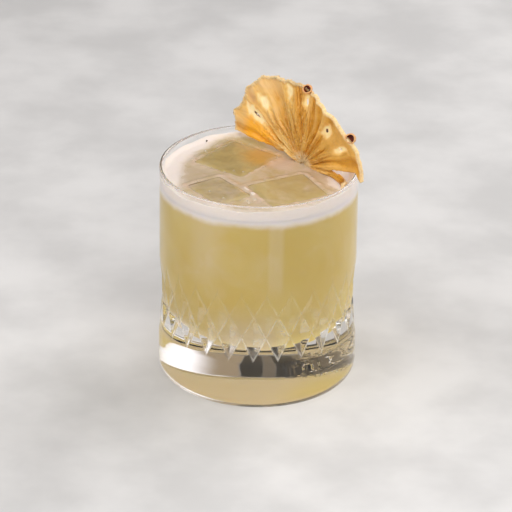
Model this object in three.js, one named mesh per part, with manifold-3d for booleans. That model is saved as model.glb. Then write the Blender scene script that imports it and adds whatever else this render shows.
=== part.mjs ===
// A short drink in a cut tumbler: a cloudy yellow pineapple cocktail with a collar of white foam,
// three ice cubes just breaking its surface, and half a dried pineapple wheel slotted on the rim.
// Millimetres, +Z up. The origin is the centre of the tumbler's flat foot, +X is to the right and
// +Y away from someone facing the drink.
import * as THREE from 'three';
import { RoundedBoxGeometry } from 'three/addons/geometries/RoundedBoxGeometry.js';
import { mergeVertices } from 'three/addons/utils/BufferGeometryUtils.js';
import Module from 'manifold-3d';

const wasm = await Module();
wasm.setup();

const GAP = 0.3; // between two pieces that touch
const SLICE_GAP = 0.45; // wider round the slice, because its pleats slope
const Z_UP = Math.PI / 2; // turns a lathe made about Y to stand along Z

// Tumbler
const HEIGHT = 95.5;
const OUTER_R = 42;
const LIP_R = 0.65; // half the thickness of the rounded lip
const FOOT_R = 36.6; // the flat that it stands on
const BASE_R = 42.3; // the heavy base, a little wider than the wall
const FOOT_RISE = 6.4; // height of the rounding round the foot
const BASE_TOP = 17;
const BOWL_FLOOR = 18.5; // thickness of the solid glass base
const BOWL_TOP = 40; // the inside is a rounded bowl below this height
const BOWL_R = 37.6;
const BOWL_POWER = 2.1; // 2 is an ellipse, more is squarer
const LIP_INNER_R = OUTER_R - 2 * LIP_R;

// Cut belt: two staggered rows of lozenges, each cut as a shallow four-sided pyramid
const CUT_COUNT = 25; // lozenges in a row
const CUT_HALF = 10; // half a lozenge's height, and the step from row to row
const CUT_TOP = 54; // upper tips of the upper row
const CUT_FOOT = CUT_TOP - 3 * CUT_HALF; // lower tips of the lower row
const CUT_DEPTH = 0.95; // from the ridges to a lozenge's middle
const WAIST_DEPTH = 1.1; // the ridges lie this far inside the wall
const WAIST_FOOT = 0.45; // and this far at the lower tips
const CUT_TURN = 5.3; // degrees from the front to the middle of an upper lozenge
const COLUMNS_PER_CUT = 2;
const COLUMNS = CUT_COUNT * COLUMNS_PER_CUT; // every round piece has these, so the gaps stay even

// Contents
const DRINK_TOP = 88;
const FOAM_TOP = 91.5;
const FOAM_COLLAR = 1.1; // how far the foam climbs the wall all round
const FOAM_CLING = 1.4; // and how much further on its highest side
const FOAM_CLING_TURN = 110; // degrees from the front to that side, counted to the right
const ICE_ROUNDING = 2.6;
const ICE_TAPER = 0.05; // a cube is narrower below, where it has melted more
const ICE_CUBES = [ // sizes across, deep and tall, the middle of the top, turn and tilt in degrees
  { name: 'ice_cube_back', size: [29, 27, 26], top: [-9.6, 13.2, 92.7], turn: 54, tilt: 1.5 },
  { name: 'ice_cube_left', size: [19, 26, 24], top: [-16.6, -18.6, 92.4], turn: 35, tilt: -1.6 },
  { name: 'ice_cube_right', size: [29, 25.5, 25], top: [12.1, -17.2, 92.3], turn: 28, tilt: 1.2 },
];

// Dried half wheel of pineapple. It stands on its straight edge along a chord of the tumbler, and
// is measured from its core: reach outwards, and degrees from the back left over the top.
const SLICE_CORE = new THREE.Vector3(18.8, 10, 91.5);
const SLICE_YAW = 45; // degrees, the chord runs from the back left to the front right
const SLICE_THICK = 1.35;
const RIND_THICK = 2.3;
const RIND_OUTLINE = [ // degrees and reach of the bulges and hollows of the uneven rind
  [1, 39.8], [8, 40.3], [15, 42], [23, 40.2], [31, 40.2], [37, 41.5], [45, 40.8], [52, 41],
  [62, 39], [72, 37], [84, 36.2], [103, 34], [120, 33.8], [134, 34.5], [149, 36], [168, 35.2],
];
const EDGE_LIFT = 2.7; // the straight edge rises this far to the left of the core
const SLIT = { angle: 168, inner: 17, width: 1.6 }; // runs in from the rind, for the rim
const HANG = { from: 31.3, to: 35, drop: 4.2 }; // the corner outside the wall hangs down
const TONGUE = { end: 184, reach: 26.8, slant: 1.7, forward: 6.6, flatten: 0.7 }; // below the slit
const WAVES = { height: 0.55, rate: 9.5, start: 0.7 }; // of the dried sheet, once round the wheel
const CURL = { height: 3.2, from: [94, 114], to: [138, 158], reach: [19, 35] }; // the back leans out
const BELLY = { height: 1.1, end: 60 }; // degrees, the left part bulges forward
const TEETH = [{ size: 0.3, rate: 29 }, { size: 0.22, rate: 47 }]; // small ones along the rind
const RIND_WIDE = 3.2; // the thicker rim of rind
const CORE_HOLLOW = 0.9;
const PLEAT = 0.42;
const UPPER_COLUMNS = 58;
const TONGUE_COLUMNS = 5;
const INNER_RINGS = 3;
const OUTER_RINGS = 7;
const EYE_DEPTH = 0.55;
const EYE_LONG = 3.6; // size of an eye's pit along a spoke of the wheel
const EYE_WIDE = 2;
const EYES = [ // pale pits left by the eyes of the fruit, some dried through to a small hole
  { reach: 30.8, angle: 28, wide: 0.95, high: 0.55 },
  { reach: 31.4, angle: 45 },
  { reach: 31.9, angle: 75.5 },
  { reach: 29.1, angle: 93, wide: 0.55, high: 1.8 },
  { reach: 24.4, angle: 125 },
  { reach: 26.2, angle: 147.5, wide: 1.1, high: 0.6 },
];
const CUPS = [ // eyes on the rind, dried into little open tubes: the middle of each mouth
  { length: 3.2, rise: 36.2, out: 2, outer: 1.95, inner: 1.4 },
  { length: 29.2, rise: 22.1, out: 2.5, outer: 2.2, inner: 1.65 },
];
const CUP_LONG = 4.2;
const CUP_DEEP = 2.6;
const CUP_FACING = new THREE.Vector3(-0.2, -0.9, 0.38).normalize();

const radians = THREE.MathUtils.degToRad;
const smooth = THREE.MathUtils.smoothstep;

// 0 at a, 1 at b, straight between them.
function ramp(value, a, b) {
  return THREE.MathUtils.clamp((value - a) / (b - a), 0, 1);
}

// Closed geometry to a solid and back, for cutting and joining.
function solidOf(geometry) {
  const bare = geometry.clone();
  bare.deleteAttribute('normal');
  bare.deleteAttribute('uv');
  const merged = mergeVertices(bare, 1e-3);
  return new wasm.Manifold(new wasm.Mesh({
    numProp: 3,
    vertProperties: merged.attributes.position.array,
    triVerts: new Uint32Array(merged.index.array),
  }));
}

function geometryOf(solid) {
  const mesh = solid.getMesh();
  const geometry = new THREE.BufferGeometry();
  geometry.setAttribute('position', new THREE.BufferAttribute(mesh.vertProperties, 3));
  geometry.setIndex(new THREE.BufferAttribute(mesh.triVerts, 1));
  geometry.computeVertexNormals();
  return geometry;
}

// The biggest body of a cut solid. Loose scraps are dropped.
function mainBody(solid) {
  return solid.decompose().reduce((a, b) => (a.volume() > b.volume() ? a : b));
}

function turned(profile) {
  return new THREE.LatheGeometry(profile, COLUMNS, radians(CUT_TURN));
}

// Radius of the inside of the wall above the bowl. It narrows gently downwards.
function wallInside(z) {
  const share = ramp(z, BOWL_TOP, HEIGHT - LIP_R);
  return BOWL_R + (LIP_INNER_R - BOWL_R) * Math.pow(share, 0.55);
}

// Profile of the inside from the middle of the bowl up to a height, moved inwards by a gap.
function insideProfile(top, gap, bowlSteps, wallSteps) {
  const points = [];
  for (let i = 0; i <= bowlSteps; i += 1) {
    const angle = (i / bowlSteps) * (Math.PI / 2);
    const across = i === 0 ? 0 : Math.pow(Math.sin(angle), 2 / BOWL_POWER);
    const down = i === bowlSteps ? 0 : Math.pow(Math.cos(angle), 2 / BOWL_POWER);
    const depth = BOWL_TOP - BOWL_FLOOR - gap;
    points.push(new THREE.Vector2((BOWL_R - gap) * across, BOWL_TOP - depth * down));
  }
  for (let i = 1; i <= wallSteps; i += 1) {
    const z = BOWL_TOP + ((top - BOWL_TOP) * i) / wallSteps;
    points.push(new THREE.Vector2(wallInside(z) - gap, z));
  }
  return points;
}

// How deep the ridges of the cut belt lie inside the wall at a height.
function waistDepth(z) {
  const below = WAIST_DEPTH * ramp(z, CUT_TOP, CUT_TOP - CUT_HALF);
  return below - (WAIST_DEPTH - WAIST_FOOT) * ramp(z, CUT_FOOT + CUT_HALF, CUT_FOOT);
}

// Share of the full cut depth at a place on the belt: 1 in a lozenge's middle, 0 on the ridges.
// across counts lozenges round the tumbler, up counts half heights from the upper row's middle.
function lozengeShare(across, up) {
  const fromMiddle = (x) => Math.abs(x - Math.round(x));
  const upperRow = 1 - 2 * fromMiddle(across) - Math.abs(up);
  const lowerRow = 1 - 2 * fromMiddle(across - 0.5) - Math.abs(up + 1);
  return Math.max(upperRow, lowerRow, 0);
}

function tumblerProfile() {
  const profile = [new THREE.Vector2(0, 0), new THREE.Vector2(FOOT_R, 0)];
  const roundSteps = 4;
  for (let i = 1; i <= roundSteps; i += 1) {
    const angle = (i / roundSteps) * (Math.PI / 2);
    const r = FOOT_R + (BASE_R - FOOT_R) * Math.sin(angle);
    profile.push(new THREE.Vector2(r, FOOT_RISE * (1 - Math.cos(angle))));
  }
  profile.push(new THREE.Vector2(BASE_R, BASE_TOP));
  for (let z = CUT_FOOT; z <= CUT_TOP; z += CUT_HALF) {
    profile.push(new THREE.Vector2(OUTER_R - waistDepth(z), z));
  }
  for (let i = 0; i <= roundSteps; i += 1) {
    const angle = (i / roundSteps) * Math.PI;
    const r = OUTER_R - LIP_R + LIP_R * Math.cos(angle);
    profile.push(new THREE.Vector2(r, HEIGHT - LIP_R + LIP_R * Math.sin(angle)));
  }
  const inside = insideProfile(HEIGHT - LIP_R, 0, 7, 4);
  inside.pop(); // the lip ends there already
  return [...profile, ...inside.reverse()];
}

function onBelt({ x: r, y: z }) {
  return r > OUTER_R - 2 && z >= CUT_FOOT && z <= CUT_TOP;
}

function tumblerGeometry() {
  const profile = tumblerProfile();
  const geometry = turned(profile);
  const position = geometry.attributes.position;
  for (let i = 0; i < position.count; i += 1) {
    const point = profile[i % profile.length];
    if (!onBelt(point)) continue;
    const across = Math.floor(i / profile.length) / COLUMNS_PER_CUT;
    const up = (point.y - CUT_TOP + CUT_HALF) / CUT_HALF;
    const share = 1 - (CUT_DEPTH * lozengeShare(across, up)) / point.x;
    position.setX(i, position.getX(i) * share);
    position.setZ(i, position.getZ(i) * share);
  }
  geometry.setIndex(tumblerIndex(profile));
  return geometry.rotateX(Z_UP);
}

// Two triangles for each cell of the lathe. In the belt, their shared edge follows the ridges.
function tumblerIndex(profile) {
  const rows = profile.length;
  const index = [];
  for (let column = 0; column < COLUMNS; column += 1) {
    const firstHalf = column % COLUMNS_PER_CUT < COLUMNS_PER_CUT / 2;
    for (let row = 0; row < rows - 1; row += 1) {
      const a = row + column * rows;
      const [b, c, d] = [a + rows, a + rows + 1, a + 1];
      const inBelt = onBelt(profile[row]) && onBelt(profile[row + 1]);
      const evenBlock = Math.floor((profile[row].y - CUT_FOOT) / CUT_HALF) % 2 === 0;
      if (inBelt && evenBlock !== firstHalf) index.push(a, b, c, a, c, d);
      else index.push(a, b, d, b, c, d);
    }
  }
  return index;
}

// A cube of clear ice with melted, rounded edges.
function iceGeometry({ size, top, turn, tilt }, grow) {
  const [across, deep, tall] = size.map((length) => length + 2 * grow);
  const geometry = new RoundedBoxGeometry(across, deep, tall, 2, ICE_ROUNDING);
  const position = geometry.attributes.position;
  for (let i = 0; i < position.count; i += 1) {
    const z = position.getZ(i);
    const share = 1 - ICE_TAPER * (0.5 - z / tall);
    position.setXYZ(i, position.getX(i) * share, position.getY(i) * share, z);
  }
  return geometry
    .rotateX(radians(tilt))
    .rotateZ(radians(turn))
    .translate(top[0], top[1], top[2] - size[2] / 2);
}

// Directions of the slice's own frame: along the chord, and out of its face towards the front.
const along = new THREE.Vector3(Math.cos(radians(SLICE_YAW)), -Math.sin(radians(SLICE_YAW)), 0);
const facing = new THREE.Vector3(-Math.sin(radians(SLICE_YAW)), -Math.cos(radians(SLICE_YAW)), 0);

function fromCore(length, rise, out) {
  return SLICE_CORE.clone()
    .addScaledVector(along, length)
    .addScaledVector(facing, out)
    .add(new THREE.Vector3(0, 0, rise));
}

// Distance from the core to the uneven, toothed rind at an angle.
function rindReach(degrees) {
  const next = RIND_OUTLINE.findIndex(([angle]) => angle >= degrees);
  const [angleA, reachA] = RIND_OUTLINE[Math.max(next - 1, 0)];
  const [angleB, reachB] = RIND_OUTLINE[Math.max(next, 1)];
  const outline = reachA + (reachB - reachA) * smooth(degrees, angleA, angleB);
  const tooth = ({ size, rate }, i) => size * Math.sin(radians(degrees) * rate + 2 * i);
  return outline + TEETH.map(tooth).reduce((a, b) => a + b);
}

// How far the dried fruit stands out of its flat plane, towards the front.
function buckle(reach, degrees) {
  const phase = radians(degrees) * WAVES.rate + WAVES.start;
  const waves = WAVES.height * Math.sin(phase) * smooth(reach, 8, 30);
  const curlSpan = smooth(degrees, ...CURL.from) * (1 - smooth(degrees, ...CURL.to));
  const curl = CURL.height * curlSpan * Math.pow(ramp(reach, ...CURL.reach), 1.6);
  const bellyTurn = Math.PI * Math.min(degrees / BELLY.end, 1);
  const belly = BELLY.height * Math.sin(bellyTurn) * smooth(reach, 10, 34);
  return waves + curl + belly;
}

function sliceThickness(reach, degrees, edgeReach) {
  const rind = smooth(reach, edgeReach - RIND_WIDE, edgeReach - 0.6);
  let thick = SLICE_THICK + (RIND_THICK - SLICE_THICK) * rind;
  for (const eye of EYES) {
    const arc = radians(degrees - eye.angle) * eye.reach;
    const away = Math.hypot((reach - eye.reach) / EYE_LONG, arc / EYE_WIDE);
    thick -= EYE_DEPTH * Math.exp(-away * away);
  }
  return thick;
}

// A place on the middle surface of the half wheel, above the slit.
function upperPoint(reach, degrees) {
  const lift = EDGE_LIFT * smooth(reach, 3, 13) * (1 - smooth(degrees, 0, 30));
  const hang = smooth(reach, HANG.from, HANG.to) * smooth(degrees, 150, SLIT.angle);
  const length = -reach * Math.cos(radians(degrees));
  const rise = reach * Math.sin(radians(degrees)) + lift - HANG.drop * hang;
  return fromCore(length, rise, buckle(reach, degrees));
}

// A place on the tongue below the slit, which bends forward and lies down on the foam.
function tonguePoint(reach, degrees) {
  const bend = Math.pow(ramp(reach, SLIT.inner - 4, TONGUE.reach + TONGUE.slant), 2);
  const below = (degrees - SLIT.angle) / (TONGUE.end - SLIT.angle);
  const forward = TONGUE.forward * below * bend;
  const length = -reach * Math.cos(radians(degrees));
  const rise = reach * Math.sin(radians(degrees)) * (1 - TONGUE.flatten * bend);
  return fromCore(length, rise, buckle(reach, degrees) * (1 - bend) + forward);
}

function tongueReach(degrees) {
  return TONGUE.reach + (TONGUE.slant * (degrees - SLIT.angle)) / (TONGUE.end - SLIT.angle);
}

// The columns of the slice, each a line from the core to the rind at one angle.
function sliceColumns() {
  const columns = [];
  const addRun = (from, to, count, point, rind) => {
    for (let i = 0; i <= count; i += 1) {
      const side = i === 0 ? -1 : Math.floor(i / count);
      columns.push({ degrees: from + ((to - from) * i) / count, side, point, rind });
    }
  };
  const firstAngle = RIND_OUTLINE[0][0];
  const slitTurn = THREE.MathUtils.radToDeg(SLIT.width / SLIT.inner);
  addRun(firstAngle, SLIT.angle, UPPER_COLUMNS, upperPoint, rindReach);
  addRun(SLIT.angle + slitTurn, TONGUE.end, TONGUE_COLUMNS, tonguePoint, tongueReach);
  return columns;
}

// The slice as a closed sheet on a grid of columns and rings. With grow above 0 it is that much
// larger all over, to cut its place out of the foam and the drink.
function sliceGeometry(grow) {
  const rings = INNER_RINGS + OUTER_RINGS;
  const columns = sliceColumns();
  const middle = [];
  const offsets = [];
  columns.forEach(({ degrees, side, point, rind }, i) => {
    const start = CORE_HOLLOW - grow;
    const edge = rind(degrees) + grow;
    for (let j = 0; j <= rings; j += 1) {
      const inner = start + (SLIT.inner - start) * ramp(j, 0, INNER_RINGS);
      const reach = inner + (edge - SLIT.inner) * ramp(j, INNER_RINGS, rings);
      const wider = THREE.MathUtils.radToDeg((side * grow) / Math.max(reach, 3));
      const pleatShare = smooth(reach, 2, 12) * (1 - 0.5 * smooth(reach, 24, 36));
      middle.push(point(reach, degrees + wider));
      offsets.push({
        pleat: (i % 2 === 0 ? PLEAT : -PLEAT) * pleatShare,
        half: sliceThickness(reach, degrees, edge) / 2 + grow,
      });
    }
  });
  const index = [];
  for (let i = 0; i < columns.length - 1; i += 1) {
    const acrossSlit = columns[i].point !== columns[i + 1].point;
    for (let j = 0; j < (acrossSlit ? INNER_RINGS : rings); j += 1) {
      const a = i * (rings + 1) + j;
      const [b, c, d] = [a + 1, a + rings + 2, a + rings + 1];
      index.push(a, c, b, a, d, c);
    }
  }
  return thickened(middle, offsets, index);
}

// A closed sheet from a surface that faces the front: the front and back faces stand off it along
// its normals, and a wall joins them wherever an edge has one face only.
function thickened(middle, offsets, faces) {
  const surface = new THREE.BufferGeometry().setFromPoints(middle);
  surface.setIndex(faces);
  surface.computeVertexNormals();
  const count = middle.length;
  const shifted = (sign) => middle.map((point, i) => {
    const normal = new THREE.Vector3().fromBufferAttribute(surface.attributes.normal, i);
    return point.clone().addScaledVector(normal, offsets[i].pleat + sign * offsets[i].half);
  });
  const edges = new Set();
  const index = [];
  for (let i = 0; i < faces.length; i += 3) {
    const [a, b, c] = faces.slice(i, i + 3);
    index.push(a, b, c, a + count, c + count, b + count);
    for (const [p, q] of [[a, b], [b, c], [c, a]]) edges.add(`${p},${q}`);
  }
  for (const key of edges) {
    const [p, q] = key.split(',').map(Number);
    if (!edges.has(`${q},${p}`)) index.push(q, p, p + count, q, p + count, q + count);
  }
  const geometry = new THREE.BufferGeometry().setFromPoints([...shifted(1), ...shifted(-1)]);
  geometry.setIndex(index);
  return geometry;
}

// Turns a shape made along Y to point along a direction, and moves it to a place.
function pointed(geometry, direction, place) {
  const turn = new THREE.Quaternion().setFromUnitVectors(new THREE.Vector3(0, 1, 0), direction);
  return geometry.applyQuaternion(turn).translate(place.x, place.y, place.z);
}

function cupGeometry({ length, rise, out, outer, inner }) {
  const profile = [[0, -CUP_LONG], [outer * 0.7, -CUP_LONG], [outer, 1 - CUP_LONG], [outer, 0],
    [inner, 0], [inner * 0.85, -CUP_DEEP], [0, -CUP_DEEP]];
  const lathe = new THREE.LatheGeometry(profile.map(([r, y]) => new THREE.Vector2(r, y)), 12);
  return pointed(lathe, CUP_FACING, fromCore(length, rise, out));
}

function eyeHoleGeometry({ reach, angle, wide, high }) {
  const drill = new THREE.CylinderGeometry(1, 1, 8, 8).scale(wide, 1, high);
  return pointed(drill, facing, upperPoint(reach, angle));
}

function sliceSolid() {
  let solid = solidOf(sliceGeometry(0));
  for (const cup of CUPS) solid = solid.add(solidOf(cupGeometry(cup)));
  for (const eye of EYES.filter(({ wide }) => wide)) {
    solid = solid.subtract(solidOf(eyeHoleGeometry(eye)));
  }
  return mainBody(solid);
}

function cutAway(solid, cutters) {
  return mainBody(cutters.reduce((rest, cutter) => rest.subtract(cutter), solid));
}

function drinkGeometry() {
  const profile = insideProfile(DRINK_TOP, GAP, 7, 3);
  profile.push(new THREE.Vector2(0, DRINK_TOP));
  return turned(profile).rotateX(Z_UP);
}

// Foam: a flat layer with a collar that clings to the wall, higher on one side.
function foamGeometry() {
  const outer = wallInside(FOAM_TOP) - GAP;
  const collar = FOAM_TOP + FOAM_COLLAR;
  const profile = [[0, DRINK_TOP + GAP], [wallInside(DRINK_TOP) - GAP, DRINK_TOP + GAP],
    [outer, collar], [outer - 0.9, collar - 0.3], [outer - 2.6, FOAM_TOP], [0, FOAM_TOP]];
  const collarRows = [2, 3];
  const geometry = turned(profile.map(([r, z]) => new THREE.Vector2(r, z)));
  const position = geometry.attributes.position;
  for (let i = 0; i < position.count; i += 1) {
    if (!collarRows.includes(i % profile.length)) continue;
    const turn = Math.atan2(position.getX(i), position.getZ(i));
    const nearHighSide = 0.5 + 0.5 * Math.cos(turn - radians(FOAM_CLING_TURN));
    const uneven = 0.2 * Math.sin(9 * turn) + 0.15 * Math.sin(17 * turn + 1);
    position.setY(i, position.getY(i) + FOAM_CLING * nearHighSide ** 2 + uneven);
  }
  return geometry.rotateX(Z_UP);
}

const glass = new THREE.MeshStandardMaterial({
  color: 0xf4f6f4, roughness: 0.04, metalness: 0, transparent: true, opacity: 0.3,
});
const juice = new THREE.MeshStandardMaterial({ color: 0xcdb26b, roughness: 0.35, metalness: 0 });
const froth = new THREE.MeshStandardMaterial({ color: 0xeadfd3, roughness: 0.8, metalness: 0 });
const clearIce = new THREE.MeshStandardMaterial({
  color: 0xd9cfa2, roughness: 0.1, metalness: 0, transparent: true, opacity: 0.6,
});
const driedFruit = new THREE.MeshStandardMaterial({ color: 0xd79a3c, roughness: 0.5, metalness: 0 });

const group = new THREE.Group();

function addPiece(name, geometry, material) {
  const mesh = new THREE.Mesh(geometry, material);
  mesh.name = name;
  group.add(mesh);
}

const cutters = [
  ...ICE_CUBES.map((cube) => solidOf(iceGeometry(cube, GAP))),
  solidOf(sliceGeometry(SLICE_GAP)),
];
addPiece('tumbler', tumblerGeometry(), glass);
addPiece('cocktail', geometryOf(cutAway(solidOf(drinkGeometry()), cutters)), juice);
addPiece('foam', geometryOf(cutAway(solidOf(foamGeometry()), cutters)), froth);
for (const cube of ICE_CUBES) addPiece(cube.name, iceGeometry(cube, 0), clearIce);
addPiece('pineapple_slice', geometryOf(sliceSolid()), driedFruit);

export default group;
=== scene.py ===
"""Looks of a pineapple cocktail in a cut tumbler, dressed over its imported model.

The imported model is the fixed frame: every piece below takes the place and the form of one of its
nodes and adds the fine surface. Shapes are worked out in millimetres, with +Z up, +X to the right
and the drinker at -Y, and a finished mesh is scaled to metres.
"""

import logging
import math
import random
from collections.abc import Sequence
from dataclasses import dataclass, field
from enum import Enum
from typing import NamedTuple

import bmesh
import bpy
from mathutils import Matrix, Vector, noise


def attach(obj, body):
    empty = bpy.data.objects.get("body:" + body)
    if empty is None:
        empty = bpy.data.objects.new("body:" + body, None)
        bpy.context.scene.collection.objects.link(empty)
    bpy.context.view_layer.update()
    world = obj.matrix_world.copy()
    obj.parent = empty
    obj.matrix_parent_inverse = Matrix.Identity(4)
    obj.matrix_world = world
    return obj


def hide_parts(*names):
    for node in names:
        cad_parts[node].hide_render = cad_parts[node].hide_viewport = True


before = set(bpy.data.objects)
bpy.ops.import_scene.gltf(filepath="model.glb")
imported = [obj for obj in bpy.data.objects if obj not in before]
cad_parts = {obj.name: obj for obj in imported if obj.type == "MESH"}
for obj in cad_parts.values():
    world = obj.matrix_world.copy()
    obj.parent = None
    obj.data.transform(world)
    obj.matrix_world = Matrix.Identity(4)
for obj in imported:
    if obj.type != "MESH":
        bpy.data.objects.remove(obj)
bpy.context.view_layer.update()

MM = 0.001
BODY = "root"
CLOSE = 1e-4
SHARP_TURN = 52
Colour = tuple[float, float, float]
Profile = list[tuple[float, float]]
BLACK = (0.0, 0.0, 0.0)

log = logging.getLogger("cocktail")


# Plain maths


def ramp(value: float, low: float, high: float) -> float:
    """Returns 0 at low, 1 at high and a straight line between them."""
    return min(max((value - low) / (high - low), 0.0), 1.0)


def smooth(value: float, low: float, high: float) -> float:
    """Returns 0 at low, 1 at high and an S curve between them."""
    share = ramp(value, low, high)
    return share * share * (3 - 2 * share)


def blend(a: float, b: float, share: float) -> float:
    """Returns the number that lies at a share of the way from a to b."""
    return a + (b - a) * share


def around(radius: float, turn: float, height: float) -> Vector:
    """Returns a place in the round.

    Args:
        radius: distance from the tumbler's axis.
        turn: degrees from the front, counted to the right.
        height: distance above the foot.

    Returns:
        The place in millimetres.
    """
    angle = math.radians(turn)
    return Vector((radius * math.sin(angle), -radius * math.cos(angle), height))


def turn_of(place: Vector) -> float:
    """Returns the degrees from the front to a place, counted to the right."""
    return math.degrees(math.atan2(place.x, -place.y))


def creases(x: float, y: float, seed: float) -> float:
    """Returns noise from -1 to 1 with sharp dark lines and broad crests."""
    return 1 - 4 * abs(noise.noise(Vector((x, y, seed))))


# Shaders


class Value:
    """One output of a shader's node, which takes part in Python arithmetic."""

    def __init__(self, shader: "Shader", socket: bpy.types.NodeSocket) -> None:
        """Keeps the shader and the output socket."""
        self.shader = shader
        self.socket = socket

    def __add__(self, other: "Operand") -> "Value":
        """Returns self + other."""
        return self.shader.math("ADD", self, other)

    __radd__ = __add__

    def __sub__(self, other: "Operand") -> "Value":
        """Returns self - other."""
        return self.shader.math("SUBTRACT", self, other)

    def __rsub__(self, other: "Operand") -> "Value":
        """Returns other - self."""
        return self.shader.math("SUBTRACT", other, self)

    def __mul__(self, other: "Operand") -> "Value":
        """Returns self * other."""
        return self.shader.math("MULTIPLY", self, other)

    __rmul__ = __mul__

    def __pow__(self, other: "Operand") -> "Value":
        """Returns self ** other."""
        return self.shader.math("POWER", self, other)

    def smooth(self, low: float, high: float) -> "Value":
        """Returns 0 below low, 1 above high and an S curve between them, or the reverse if low is above."""
        settings = {"interpolation_type": "SMOOTHSTEP"}
        return self.shader.value("ShaderNodeMapRange", settings, {0: self, 1: low, 2: high})

    def within(self, low: float, high: float, edge: float) -> "Value":
        """Returns 1 between low and high and 0 outside, with soft edges."""
        return self.smooth(low - edge, low + edge) * self.smooth(high + edge, high - edge)

    def at_most(self, other: "Operand") -> "Value":
        """Returns the smaller of the two."""
        return self.shader.math("MINIMUM", self, other)

    def at_least(self, other: "Operand") -> "Value":
        """Returns the larger of the two."""
        return self.shader.math("MAXIMUM", self, other)


Operand = Value | float | int
Input = Operand | Colour | tuple[float, ...] | bpy.types.NodeSocket


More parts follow.
